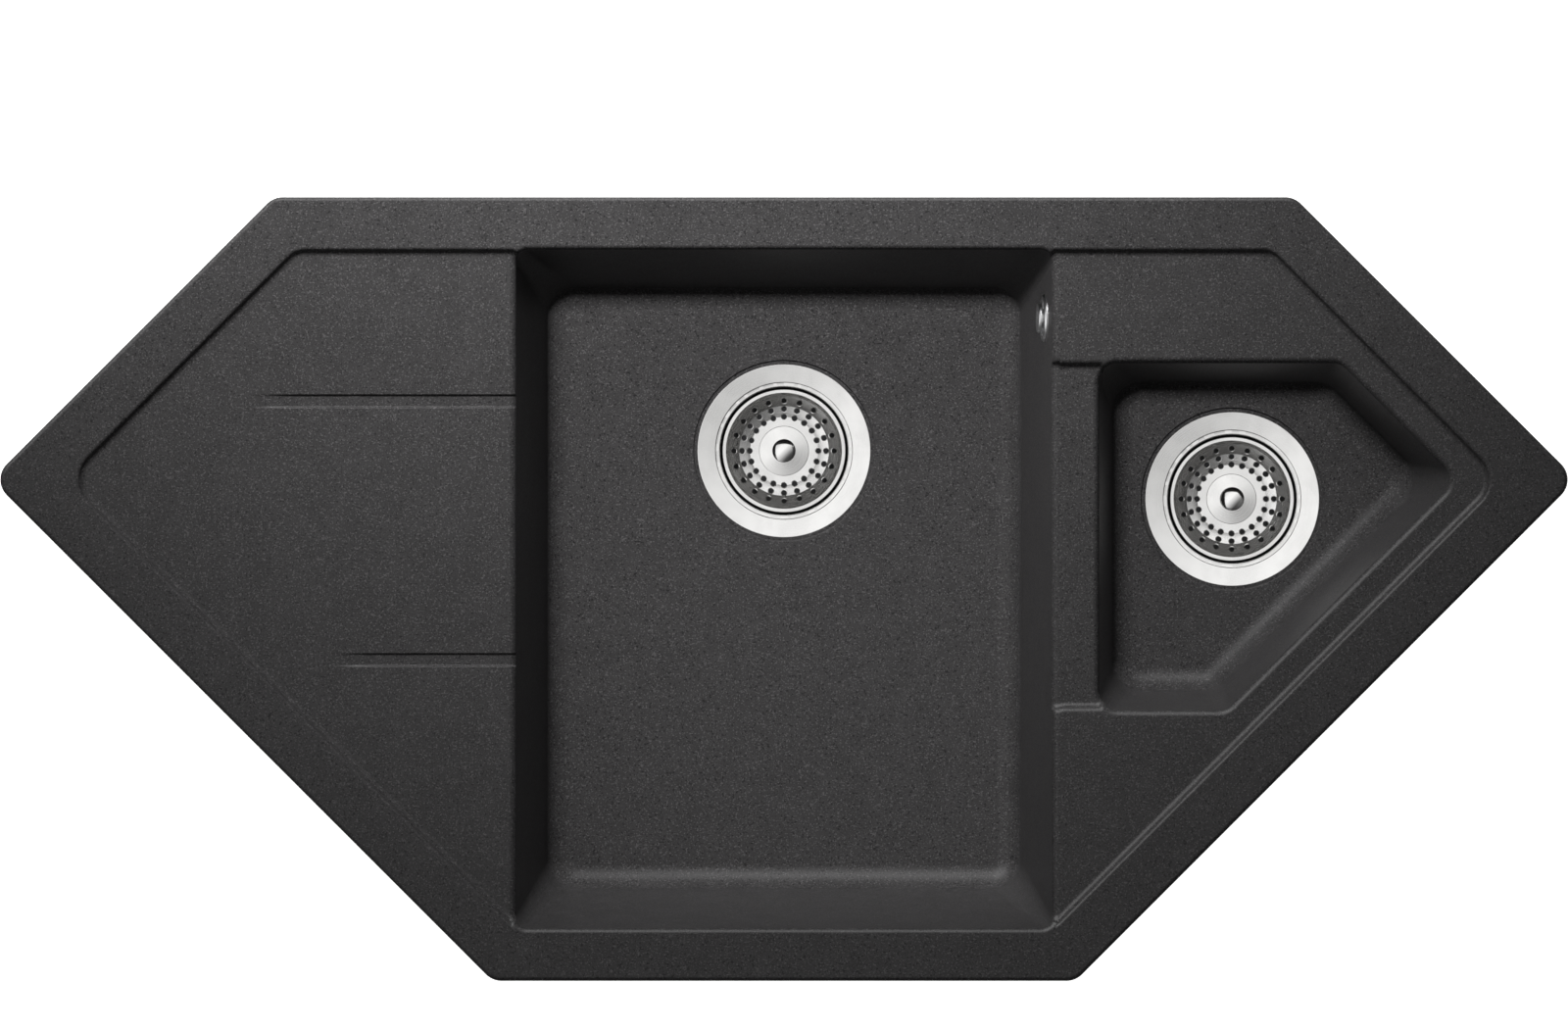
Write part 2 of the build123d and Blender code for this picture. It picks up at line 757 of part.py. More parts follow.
    with BuildPart() as basket_knob:
        with Locations(floor.offset(knob_z)):
            Sphere(knob_radius)
        with BuildSketch(floor.offset(cone_top_z)) as neck:
            Circle(knob_neck_radius)
        extrude(amount=knob_z - cone_top_z)
        with BuildSketch(floor.offset(cone_top_z)) as shank:
            Circle(knob_shank_radius)
        extrude(amount=stem_collar_z - cone_top_z)
    write(basket_knob.part, f"{name}_basket_knob")

# --- sockets that take a pipe, each with a washer and a nut; z points out of the mouth
outlets = [
    (f"{name}_outlet", Plane(origin=(x, y, z - waste_length), x_dir=(1, 0, 0), z_dir=(0, 0, -1)))
    for name, x, y, z in drains
]
branch_way = (Vector(*half_drain_xy) - Vector(0, main_drain_y)).normalized()
branch_mouth = Plane(
    origin=(branch_way.X * tee_branch, main_drain_y + branch_way.Y * tee_branch, drain_line_z),
    x_dir=(0, 0, 1),
    z_dir=branch_way,
)
for name, mouth in [*outlets, ("branch", branch_mouth)]:
    with BuildPart() as washer:
        with BuildSketch(mouth) as ring:
            Circle(socket_radius - pipe_fit)
            Circle(pipe_radius + pipe_fit, mode=Mode.SUBTRACT)
        extrude(amount=washer_height)
    write(washer.part, f"{name}_washer")

    with BuildPart() as nut:
        with BuildSketch(mouth.offset(washer_height + nut_lip)) as grip:
            RegularPolygon(nut_radius, 8)
        extrude(amount=-nut_height)
        with BuildSketch(mouth.offset(washer_height)) as nut_thread:
            Circle(socket_radius + pipe_fit)
        extrude(amount=-nut_height, mode=Mode.SUBTRACT)
        with BuildSketch(mouth.offset(washer_height)) as pipe_hole:
            Circle(pipe_radius + 2 * pipe_fit)
        extrude(amount=nut_lip, mode=Mode.SUBTRACT)
    write(nut.part, f"{name}_nut")

# --- drain tee under the main bowl; its lower end is a socket that takes the pipe of a trap
tee_top_z = main_floor_z - waste_length + socket_depth - pipe_gap
tee_axis = Plane(origin=(0, main_drain_y, tee_bottom_z))
branch_axis = Plane(
    origin=(0, main_drain_y, drain_line_z),
    x_dir=(0, 0, 1),
    z_dir=branch_way,
)
with BuildPart() as drain_tee:
    with BuildSketch(tee_axis) as trunk:
        Circle(pipe_radius)
    extrude(amount=tee_top_z - tee_bottom_z)
    with BuildSketch(tee_axis) as sleeve:
        Circle(socket_radius)
    extrude(amount=drain_line_z + socket_radius - tee_bottom_z)
    with BuildSketch(branch_axis) as branch:
        Circle(socket_radius)
    extrude(amount=tee_branch)
    with BuildSketch(tee_axis) as trunk_bore:
        Circle(pipe_radius - pipe_wall)
    extrude(amount=tee_top_z - tee_bottom_z, mode=Mode.SUBTRACT)
    with BuildSketch(branch_axis) as branch_bore:
        Circle(pipe_radius - pipe_wall)
    extrude(amount=tee_branch, mode=Mode.SUBTRACT)
    with BuildSketch(branch_mouth) as branch_socket:
        Circle(pipe_radius + pipe_fit)
    extrude(amount=-socket_depth, mode=Mode.SUBTRACT)
    with BuildSketch(tee_axis) as outlet_socket:
        Circle(pipe_radius + pipe_fit)
    extrude(amount=socket_depth, mode=Mode.SUBTRACT)
write(drain_tee.part, "drain_tee")

# --- pipe from the half bowl to the tee
cross_top_z = half_floor_z - waste_length + socket_depth - pipe_gap
cross_end = tee_branch - socket_depth + pipe_gap
with BuildPart() as cross_pipe:
    with BuildLine() as cross_route:
        FilletPolyline(
            (*half_drain_xy, cross_top_z),
            (*half_drain_xy, drain_line_z),
            (branch_way.X * cross_end, main_drain_y + branch_way.Y * cross_end, drain_line_z),
            radius=bend_radius,
        )
    with BuildSketch(Plane(origin=(*half_drain_xy, cross_top_z))) as cross_section:
        Circle(pipe_radius)
        Circle(pipe_radius - pipe_wall, mode=Mode.SUBTRACT)
    sweep(path=cross_route.line)
write(cross_pipe.part, "cross_pipe")

# --- overflow: cover, gasket and screw in the bowl, head behind its wall, pipe to the main drain
with BuildPart() as overflow_cover:
    revolve(
        lathe_face(
            overflow_plane,
            (cover_ring_inner, 0),
            (cover_radius, 0),
            (cover_radius, cover_ring_height / 2),
            (cover_radius - 1, cover_ring_height),
            (cover_ring_inner, cover_ring_height),
        ),
        axis=axis_of(overflow_plane),
    )
    revolve(
        lathe_face(
            overflow_plane,
            (cover_screw_hole, 1),
            (cap_hub_radius, 1),
            (cap_hub_radius, cover_depth - cap_thickness),
            (cap_radius, cover_depth - cap_thickness),
            (cap_radius, cover_depth - 0.7),
            (cap_radius - 0.7, cover_depth),
            (cover_head_radius, cover_depth),
            (cover_head_radius, cover_depth - sheet),
            (cover_screw_hole, cover_depth - sheet),
        ),
        axis=axis_of(overflow_plane),
    )
    with BuildSketch(overflow_plane) as cover_arms:
        with PolarLocations(0, 3):
            with Locations(((cap_hub_radius + cover_ring_inner + 1) / 2, 0)):
                Rectangle(cover_ring_inner + 1 - cap_hub_radius + 1, cover_arm_width)
    extrude(amount=cover_ring_height)
write(overflow_cover.part, "overflow_cover")

with BuildPart() as overflow_screw:
    with BuildSketch(overflow_plane.offset(cover_depth - sheet)) as head:
        Circle(cover_head_radius - running_fit)
    extrude(amount=sheet)
    with BuildSketch(overflow_plane.offset(cover_depth)) as slot:
        Rectangle(2 * cover_head_radius, sheet)
    extrude(amount=-sheet / 2, mode=Mode.SUBTRACT)
    with BuildSketch(overflow_plane.offset(cover_depth - sheet)) as shank:
        Circle(cover_screw_hole - running_fit)
    extrude(amount=-overflow_screw_length)
write(overflow_screw.part, "overflow_screw")

with BuildPart() as overflow_gasket:
    with BuildSketch(overflow_plane.offset(overflow_back)) as ring:
        Circle(overflow_head_radius)
        Circle(overflow_hole_radius + 1, mode=Mode.SUBTRACT)
    extrude(amount=overflow_gasket_thickness)
write(overflow_gasket.part, "overflow_gasket")

spout_plane = Plane(origin=(spout_x, overflow_y, spout_z + overflow_head_radius))
with BuildPart() as overflow_head:
    with BuildSketch(overflow_plane.offset(overflow_back)) as can:
        Circle(overflow_head_radius)
    extrude(amount=-overflow_head_depth)
    with BuildSketch(spout_plane) as spout:
        Circle(spout_radius)
    extrude(amount=spout_end_z - spout_plane.origin.Z)
    with BuildSketch(spout_plane) as spout_hole:
        Circle(spout_bore)
    extrude(amount=spout_end_z - spout_plane.origin.Z, mode=Mode.SUBTRACT)
    with BuildSketch(overflow_plane.offset(overflow_back)) as can_bore:
        Circle(head_bore_radius)
        Circle(head_hub_radius, mode=Mode.SUBTRACT)
    extrude(amount=-overflow_head_depth + head_wall, mode=Mode.SUBTRACT)
    with BuildSketch(overflow_plane.offset(overflow_back)) as head_thread:
        Circle(cover_screw_hole)
    extrude(amount=-overflow_head_depth + head_wall, mode=Mode.SUBTRACT)
    with BuildSketch(overflow_plane.offset(overflow_back - overflow_head_depth)) as back_plate:
        Circle(overflow_head_radius)
    extrude(amount=head_wall)
    with BuildSketch(overflow_plane.offset(overflow_back - overflow_head_depth + head_wall)) as web:
        with Locations((0, 0)):
            Rectangle(2 * (head_bore_radius + 1), web_width)
            Circle(head_hub_radius, mode=Mode.SUBTRACT)
    extrude(amount=head_wall)
write(overflow_head.part, "overflow_head")

with BuildPart() as overflow_pipe:
    with BuildLine() as overflow_route:
        FilletPolyline(
            (spout_x, overflow_y, spout_end_z + hose_overlap),
            (spout_x, overflow_y, inlet_z),
            tuple(inlet_plane.origin + inlet_plane.z_dir * (inlet_end - hose_overlap)),
            radius=overflow_bend,
        )
    with BuildSketch(Plane(origin=(spout_x, overflow_y, spout_end_z + hose_overlap))) as section:
        Circle(overflow_pipe_radius)
        Circle(spout_radius + hose_clearance, mode=Mode.SUBTRACT)
    sweep(path=overflow_route.line)
write(overflow_pipe.part, "overflow_pipe")

clip_places = (
    ("upper", Plane(origin=(spout_x, overflow_y, spout_end_z + clip_inset))),
    ("lower", inlet_plane.offset(inlet_end - hose_overlap + clip_inset)),
)
for name, place in clip_places:
    with BuildPart() as hose_clip:
        with BuildSketch(place) as band:
            Circle(clip_radius)
            with Locations((clip_radius + clip_lug / 2 - 1, 0)):
                Rectangle(clip_lug, clip_lug)
            Circle(overflow_pipe_radius + running_fit, mode=Mode.SUBTRACT)
        extrude(amount=clip_width)
    write(hose_clip.part, f"{name}_hose_clip")
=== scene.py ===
"""Looks of a corner kitchen sink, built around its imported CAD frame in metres."""

from __future__ import annotations

import json
import logging
import math
from dataclasses import dataclass
from enum import Enum
from typing import Callable

import bmesh
import bpy
import numpy as np
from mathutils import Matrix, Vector
from mathutils.geometry import delaunay_2d_cdt


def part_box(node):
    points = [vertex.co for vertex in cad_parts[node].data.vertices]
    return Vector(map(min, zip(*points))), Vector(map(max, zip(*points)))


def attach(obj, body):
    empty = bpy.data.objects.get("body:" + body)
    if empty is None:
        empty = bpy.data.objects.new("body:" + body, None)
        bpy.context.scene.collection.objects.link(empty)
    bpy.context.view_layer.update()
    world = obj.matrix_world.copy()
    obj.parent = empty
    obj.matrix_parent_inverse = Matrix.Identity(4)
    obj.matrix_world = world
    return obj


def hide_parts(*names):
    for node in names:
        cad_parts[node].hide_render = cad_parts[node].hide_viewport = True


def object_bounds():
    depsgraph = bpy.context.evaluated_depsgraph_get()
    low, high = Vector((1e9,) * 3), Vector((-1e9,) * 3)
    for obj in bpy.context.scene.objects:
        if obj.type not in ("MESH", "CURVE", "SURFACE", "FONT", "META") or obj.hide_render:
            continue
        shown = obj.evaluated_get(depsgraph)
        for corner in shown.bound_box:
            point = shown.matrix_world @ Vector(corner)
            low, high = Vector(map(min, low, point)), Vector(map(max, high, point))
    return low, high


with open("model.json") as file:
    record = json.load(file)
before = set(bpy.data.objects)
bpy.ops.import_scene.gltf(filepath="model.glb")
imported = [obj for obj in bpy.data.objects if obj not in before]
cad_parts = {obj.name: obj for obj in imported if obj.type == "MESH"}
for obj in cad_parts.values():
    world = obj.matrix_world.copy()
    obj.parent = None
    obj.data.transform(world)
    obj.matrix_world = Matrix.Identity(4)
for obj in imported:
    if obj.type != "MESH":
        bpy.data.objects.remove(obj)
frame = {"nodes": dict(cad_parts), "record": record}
CAD_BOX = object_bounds()

log = logging.getLogger("sink")
MM = 0.001
Colour = tuple[float, float, float]
Point = tuple[float, float, float]
Pair = tuple[float, float]
Array = np.ndarray
Height = Callable[[Array], Array]
Socket = bpy.types.NodeSocket
Piece = bpy.types.Object


class Slot(Enum):
    """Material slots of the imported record."""

    COMPOSITE = "composite"
    STAINLESS = "stainless"
    CHROME = "chrome"
    ZINC = "zinc_steel"
    RUBBER = "rubber"
    FOAM = "foam"
    BLACK_PLASTIC = "black_plastic"
    WHITE_PLASTIC = "white_plastic"


class Graph:
    """The node graph of a material or of the world, with short calls for the nodes that are used here."""

    def __init__(self, owner: bpy.types.Material | bpy.types.World, output: str = "OutputMaterial") -> None:
        """Empties the owner's graph and adds its output node.

        Args:
            owner: the material or the world.
            output: the output node's type name after ShaderNode.
        """
        owner.use_nodes = True
        self.owner = owner
        self.tree = owner.node_tree
        self.tree.nodes.clear()
        self.output = self.node(output, {})

    def node(self, kind: str, inputs: dict, **settings: str) -> bpy.types.Node:
        """Adds a node.

        Args:
            kind: the node's type name after ShaderNode.
            inputs: socket name or number to a value, or to a socket that is linked in.
            settings: attributes of the node.

        Returns:
            The new node.
        """
        made = self.tree.nodes.new("ShaderNode" + kind)
        for key, value in settings.items():
            setattr(made, key, value)
        for key, value in inputs.items():
            if isinstance(value, Socket):
                self.tree.links.new(value, made.inputs[key])
            else:
                made.inputs[key].default_value = value
        return made

    def close(self, shader: bpy.types.Node) -> None:
        """Links a shader to the output node."""
        self.tree.links.new(shader.outputs[0], self.output.inputs[0])

    def place(self, centre: Vector | None = None) -> Socket:
        """Object coordinates in metres, from a centre if there is one.

        Args:
            centre: the origin of the coordinates, in metres; else it is the world's.

        Returns:
            The coordinate socket.
        """
        at = self.node("TexCoord", {}).outputs["Object"]
        if centre is None:
            return at
        return self.node("VectorMath", {0: at, 1: tuple(centre)}, operation="SUBTRACT").outputs[0]

    def noise(self, at: Socket, scale: float, detail: float = 2.0, rough: float = 0.5) -> Socket:
        """Smooth noise from 0 to 1 with scale cells per metre."""
        inputs = {"Vector": at, "Scale": scale, "Detail": detail, "Roughness": rough}
        return self.node("TexNoise", inputs).outputs[0]

    def ramp(self, value: Socket, low: float, high: float, start: float = 0.0, end: float = 1.0) -> Socket:
        """Maps low to start and high to end along an S-curve."""
        inputs = {"Value": value, "From Min": low, "From Max": high, "To Min": start, "To Max": end}
        return self.node("MapRange", inputs, interpolation_type="SMOOTHSTEP").outputs[0]

    def math(self, operation: str, *values: Socket | float) -> Socket:
        """One arithmetic step on sockets or numbers."""
        return self.node("Math", dict(enumerate(values)), operation=operation).outputs[0]

    def mix(self, share: Socket, a: Socket | Colour, b: Socket | Colour) -> Socket:
        """Colour a where share is 0, colour b where it is 1."""
        a, b = ((*c, 1.0) if isinstance(c, tuple) else c for c in (a, b))
        return self.node("Mix", {0: share, 6: a, 7: b}, data_type="RGBA").outputs[2]

    def bump(self, height: Socket, depth: float, strength: float) -> Socket:
        """Normal of a surface whose height socket runs from 0 to 1 over depth metres."""
        return self.node("Bump", {"Height": height, "Distance": depth, "Strength": strength}).outputs[0]

    def finish(self, **sockets: Socket | float) -> bpy.types.Material:
        """Closes the graph with a Principled shader.

        Args:
            sockets: shader inputs with _ for a space.

        Returns:
            The material.
        """
        inputs = {key.replace("_", " "): value for key, value in sockets.items()}
        self.close(self.node("BsdfPrincipled", inputs))
        return self.owner


def shade(colour: Colour, share: float) -> Colour:
    """A darker or lighter version of a colour, at most white."""
    return tuple(min(1.0, part * share) for part in colour)


def show(name: str, data: bpy.types.ID) -> Piece:
    """Makes an object of a mesh, lamp or camera and puts it into the scene.

    Args:
        name: the object's name.
        data: the mesh, lamp or camera.

    Returns:
        The object.
    """
    made = bpy.data.objects.new(name, data)
    bpy.context.scene.collection.objects.link(made)
    return made


def unit(vectors: Array) -> Array:
    """Rows of vectors at length 1."""
    return vectors / np.maximum(np.linalg.norm(vectors, axis=1), 1e-12)[:, None]


def column(values: Array) -> Array:
    """Numbers as a column, each to scale one row of another array."""
    return values[:, None]


def polar(angle: Array) -> Array:
    """Unit vectors in plan at angles from +X."""
    return np.stack([np.cos(angle), np.sin(angle)], 1)


def circle(count: int) -> Array:
    """Unit vectors in plan, evenly round a circle from +X."""
    return polar(np.linspace(0, 2 * math.pi, count, endpoint=False))


@dataclass(frozen=True)
class Step:
    """A soft step down of two arcs.

    It starts level, bends down on an arc of radius high and comes level again on an arc of radius low. Both
    bend by the angle a with (high + low)(1 - cos a) = drop, so the step is (high + low) sin a wide.
    """

    drop: float
    high: float
    low: float

    @property
    def bend(self) -> float:
        """The angle that both arcs bend by."""
        return math.acos(1.0 - self.drop / (self.high + self.low))

    @property
    def span(self) -> float:
        """The step's width."""
        return (self.high + self.low) * math.sin(self.bend)

    def fall(self, run: Array) -> Array:
        """Height lost, from 0 to drop, at distances in from the start of the step.

        Args:
            run: distances in from the start of the step, any shape.

        Returns:
            The heights, same shape.
        """
        first, run = self.high * math.sin(self.bend), np.clip(run, 0.0, self.span)
        upper = self.high - np.sqrt(self.high**2 - np.minimum(run, first) ** 2)
        rest = np.minimum(self.span - run, self.span - first)
        return np.where(run < first, upper, self.drop - self.low + np.sqrt(self.low**2 - rest**2))

    def levels(self, count: int = 6) -> Array:
        """Distances at even angles along the two arcs, from the step's start to its end."""
        sine = np.sin(np.linspace(0.0, self.bend, count))
        return np.concatenate([self.high * sine, (self.span - self.low * sine)[::-1][1:]])


@dataclass
class Loop:
    """A convex outline with straight sides and round corners.

    Corner i joins side i - 1 to side i, and side i lies on the line normal_i . x = reach_i. The parameter t
    runs once round: from i to i + 0.5 along the arc of corner i, from i + 0.5 to i + 1 along side i.
    """

    corners: Array
    radii: Array

    def __post_init__(self) -> None:
        """Works out the normals and reaches of the sides and the angles of the arcs."""
        self.radii = np.broadcast_to(np.asarray(self.radii, float), (len(self.corners),))
        run = np.roll(self.corners, -1, 0) - self.corners
        self.normals = unit(np.stack([run[:, 1], -run[:, 0]], 1))
        self.reach = (self.normals * self.corners).sum(1)
        before = np.roll(self.normals, 1, 0)
        self.start = np.arctan2(before[:, 1], before[:, 0])
        self.turn = (np.arctan2(self.normals[:, 1], self.normals[:, 0]) - self.start) % (2 * math.pi)

    def centre(self, corner: Array, grow: Array, radius: Array) -> Array:
        """Centres of arcs: the point that lies one radius inside both sides at the corner.

        Args:
            corner: corner number of each point.
            grow: how far each side is moved outwards, (points, sides).
            radius: radius of each point's own arc.

        Returns:
            The centres, (points, 2).
        """
        rows, before = np.arange(len(corner)), corner - 1
        one = self.reach[before] + grow[rows, before] - radius
        two = self.reach[corner] + grow[rows, corner] - radius
        n, m = self.normals[before], self.normals[corner]
        area = n[:, 0] * m[:, 1] - n[:, 1] * m[:, 0]
        return np.stack([one * m[:, 1] - two * n[:, 1], n[:, 0] * two - m[:, 0] * one], 1) / area[:, None]

    def at(self, t: Array, grow: Array | float = 0.0, widen: Array | float = 0.0) -> tuple[Array, Array]:
        """Points of the loop with its sides moved outwards and its corners widened.

        Args:
            t: parameters.
            grow: outward move, one number, one for each side, or (points, sides).
            widen: added to the radius of every corner, one number or one for each point.

        Returns:
            The points and the outward normals in plan, both (points, 2).
        """
        count = len(self.corners)
        grow = np.broadcast_to(grow, (len(t), count))
        widen = np.broadcast_to(widen, (len(t),))
        corner = np.floor(t).astype(int) % count
        part = 2.0 * (t - np.floor(t))
        angle = self.start[corner] + np.clip(part, 0, 1) * self.turn[corner]
        way = polar(angle)
        after = (corner + 1) % count
        one, two = self.radii[corner] + widen, self.radii[after] + widen
        start = self.centre(corner, grow, one) + one[:, None] * way
        stop = self.centre(after, grow, two) + two[:, None] * way
        return start + np.clip(part - 1, 0, 1)[:, None] * (stop - start), way

    def distance(self, at: Array) -> Array:
        """Distance of points outwards from the loop, less than 0 inside it.

        Args:
            at: points in plan.

        Returns:
            The distances.
        """
        out = (at @ self.normals.T - self.reach).max(1)
        for i in range(len(self.corners)):
            one = np.array([i])
            middle = self.centre(one, np.zeros((1, len(self.corners))), self.radii[one])[0]
            n, m, off = self.normals[i - 1], self.normals[i], at - middle
            fan = (n[0] * off[:, 1] >= n[1] * off[:, 0]) & (off[:, 0] * m[1] >= off[:, 1] * m[0])
            out = np.where(fan, np.hypot(off[:, 0], off[:, 1]) - self.radii[i], out)
        return out

    def spread(self, arc: int, side: int) -> Array:
        """Parameters with arc steps on each corner and side steps on each side."""
        parts = [np.linspace(a, a + 0.5, count, endpoint=False) for a, count in ((0.0, arc), (0.5, side))]
        return (np.arange(len(self.corners))[:, None] + np.concatenate(parts)).ravel()


def inside(polygon: Array, at: Array) -> Array:
    """Whether points lie in a closed polygon: a ray to the right crosses it an odd number of times.

    Args:
        polygon: the polygon's corners.
        at: points in plan.

    Returns:
        The truth for each point.
    """
    a, b = polygon[None], np.roll(polygon, -1, 0)[None]
    x, y = at[:, None, 0], at[:, None, 1]
    spans = (a[..., 1] > y) != (b[..., 1] > y)
    rise = np.where(spans, b[..., 1] - a[..., 1], 1.0)
    cross = a[..., 0] + (y - a[..., 1]) / rise * (b[..., 0] - a[..., 0])
    return (spans & (x < cross)).sum(1) % 2 == 1


def fill(rings: list[Array], lines: list[Array]) -> tuple[Array, Array]:
    """Triangles over the first ring less the other rings, with the lines as edges (constrained Delaunay).

    Args:
        rings: closed polygons in plan; the first is the outside.
        lines: open polylines in plan.

    Returns:
        Points (n, 2) and triangles (m, 3), anticlockwise.
    """
    sets = [(r, True) for r in rings] + [(line, False) for line in lines]
    starts = np.cumsum([0] + [len(s) for s, _ in sets])
    edges = []
    for (s, closed), base in zip(sets, starts):
        here = np.arange(len(s))
        pairs = np.stack([here, np.roll(here, -1)], 1) + base
        edges += (pairs if closed else pairs[:-1]).tolist()
    flat = np.concatenate([s for s, _ in sets]).tolist()
    made = delaunay_2d_cdt([Vector(p) for p in flat], edges, [], 0, 1e-4)
    at, faces = np.array(made[0]), np.array(made[2])
    middle = at[faces].mean(1)
    keep = inside(rings[0], middle)
    for ring in rings[1:]:
        keep &= ~inside(ring, middle)
    faces = faces[keep]
    a, b, c = (at[faces[:, k]] for k in range(3))
    turned = (b[:, 0] - a[:, 0]) * (c[:, 1] - a[:, 1]) < (b[:, 1] - a[:, 1]) * (c[:, 0] - a[:, 0])
    faces[turned] = faces[turned][:, ::-1]
    return at, faces


@dataclass
class Line:
    """Points (radius, height) with normals; the surface that they sweep faces to the right of their run."""

    points: Array
    normals: Array

    def cut(self, limit: float) -> Line:
        """Adds a point wherever the line crosses a radius.

        Args:
            limit: the radius.

        Returns:
            The line with those points.
        """
        r = self.points[:, 0]
        at = np.flatnonzero((r[:-1] - limit) * (r[1:] - limit) < 0)
        share = ((limit - r[at]) / (r[at + 1] - r[at]))[:, None]
        sets = (self.points, self.normals)
        return Line(*(np.insert(v, at + 1, v[at] + share * (v[at + 1] - v[at]), 0) for v in sets))

    def outside(self, inner: float, outer: float) -> list[Line]:
        """The stretches of the line whose radius isn't between two limits, ended exactly at those.

        Args:
            inner: the lower limit.
            outer: the upper limit.

        Returns:
            The stretches, in their order.
        """
        whole = self.cut(inner).cut(outer)
        middle = (whole.points[1:, 0] + whole.points[:-1, 0]) / 2
        out = (middle < inner) | (middle > outer)
        turns = np.flatnonzero(out[1:] != out[:-1]) + 1
        return [Line(whole.points[a:b + 1], whole.normals[a:b + 1])
                for a, b in zip([0, *turns], [*turns, len(out)]) if out[a]]

    def level(self, radius: Array) -> tuple[Array, Array]:
        """Height and slope of the line at given radii, where it passes each of them once.

        The slope is minus the radial part of the normal over its upright part.

        Args:
            radius: the radii.

        Returns:
            The heights and the slopes.
        """
        order = np.argsort(self.points[:, 0], kind="stable")
        r, z = self.points[order].T
        across, up = self.normals[order].T
        slope = -across / np.where(np.abs(up) < 0.05, 0.05, up)
        return np.interp(radius, r, z), np.interp(radius, r, slope)


def profile(*knots: tuple[float, ...], steps: int = 5) -> Line:
    """Makes a line with rounded corners.

    A corner with the radius f becomes an arc that touches both lines, f tan(half the bend) from the corner.

    Args:
        knots: (radius, height) or (radius, height, fillet) of each corner, in order; a fillet is else 0.2.
        steps: points along each arc.

    Returns:
        The line with its normals.
    """
    at = np.array([k[:2] for k in knots], float)
    fillet = [k[2] if len(k) > 2 else 0.2 for k in knots]
    way = unit(np.diff(at, axis=0))
    side = np.stack([way[:, 1], -way[:, 0]], 1)
    points, normals = [at[0]], [side[0]]
    for i in range(1, len(at) - 1):
        bend = math.atan2(way[i - 1][0] * way[i][1] - way[i - 1][1] * way[i][0], float(way[i - 1] @ way[i]))
        if abs(bend) < 1e-6:
            continue
        back = abs(fillet[i] * math.tan(bend / 2))
        hub = at[i] - way[i - 1] * back - side[i - 1] * math.copysign(fillet[i], bend)
        for share in np.linspace(0, 1, steps):
            c, s = math.cos(bend * share), math.sin(bend * share)
            lean = np.array([[c, -s], [s, c]]) @ side[i - 1]
            points.append(hub + lean * math.copysign(fillet[i], bend))
            normals.append(lean)
    return Line(np.array([*points, at[-1]]), np.array([*normals, side[-1]]))


class Skin:
    """Patches of surface in millimetres that become one mesh object in metres."""

    def __init__(self) -> None:
        """Starts with no patches."""
        self.points: list[Array] = []
        self.normals: list[Array] = []
        self.faces: list[list[int]] = []
        self.size = 0

    def add(self, points: Array, normals: Array, faces: Array) -> None:
        """Adds a patch: its points and normals (n, 3) and its faces by point number.

        Args:
            points: points (n, 3).
            normals: their normals, of any length.
            faces: point numbers of each face, from 0 for this patch.
        """
        self.points.append(points)
        self.normals.append(unit(normals))
        self.faces += (faces + self.size).tolist()
        self.size += len(points)

    def level(self, points: Array, faces: Array, z: float) -> None:
        """Adds a level patch that faces up."""
        up = np.tile([0.0, 0.0, 1.0], (len(points), 1))
        self.add(np.column_stack([points, np.full(len(points), z)]), up, faces)

    def rings(self, rows: Array, normals: Array) -> None:
        """Adds rings, each inside or below the one before and anticlockwise seen from outside the surface.

        Args:
            rows: points (rings, points of a ring, 3).
            normals: their normals, same shape.
        """
        count, around = rows.shape[:2]
        here = np.arange(around)
        then = np.roll(here, -1)
        row = np.arange(count - 1)[:, None] * around
        faces = np.stack([row + here, row + then, row + around + then, row + around + here], 2)
        self.add(rows.reshape(-1, 3), normals.reshape(-1, 3), faces.reshape(-1, 4))

    def grid(self, rows: Array, fall: Array) -> None:
        """Adds rings whose normals are the ring's direction crossed with fall, the way to the next ring."""
        self.rings(rows, np.cross(np.roll(rows, -1, 1) - np.roll(rows, 1, 1), fall))

    def turned(self, line: Line, centre: Array | tuple[float, float, float], around: int = 96) -> None:
        """Adds a line turned about an upright axis: point = centre + (r cos a, r sin a, z).

        Args:
            line: the line.
            centre: the point of the axis at height 0 of the line.
            around: how many points go round.
        """
        way, lift = circle(around), np.ones((around, 1))
        rows, normals = (np.stack([np.concatenate([r * way, z * lift], 1) for r, z in pairs])
                         for pairs in (line.points, line.normals))
        self.rings(rows + np.array(centre), normals)

    def build(self, name: str) -> Piece:
        """Makes the object: points that coincide are joined, and each keeps the normal worked out for it.

        Args:
            name: the object's name.

        Returns:
            The object.
        """
        mesh = bpy.data.meshes.new(name)
        mesh.from_pydata((np.concatenate(self.points) * MM).tolist(), [], self.faces)
        kept = mesh.attributes.new("kept_normal", "FLOAT_VECTOR", "POINT")
        kept.data.foreach_set("vector", np.concatenate(self.normals).ravel())
        joined = bmesh.new()
        joined.from_mesh(mesh)
        bmesh.ops.remove_doubles(joined, verts=joined.verts, dist=2e-6)
        joined.to_mesh(mesh)
        joined.free()
        normals = np.empty(3 * len(mesh.vertices))
        mesh.attributes["kept_normal"].data.foreach_get("vector", normals)
        mesh.attributes.remove(mesh.attributes["kept_normal"])
        mesh.shade_smooth()
        mesh.normals_split_custom_set_from_vertices(normals.reshape(-1, 3).tolist())
        log.info("%s has %d faces", name, len(mesh.polygons))
        return show(name, mesh)


@dataclass
class Feature:
    """Level lines of a shape in the top: its value in plan, the levels with an edge, and their lines."""

    value: Height
    levels: Array
    lines: list[Array]


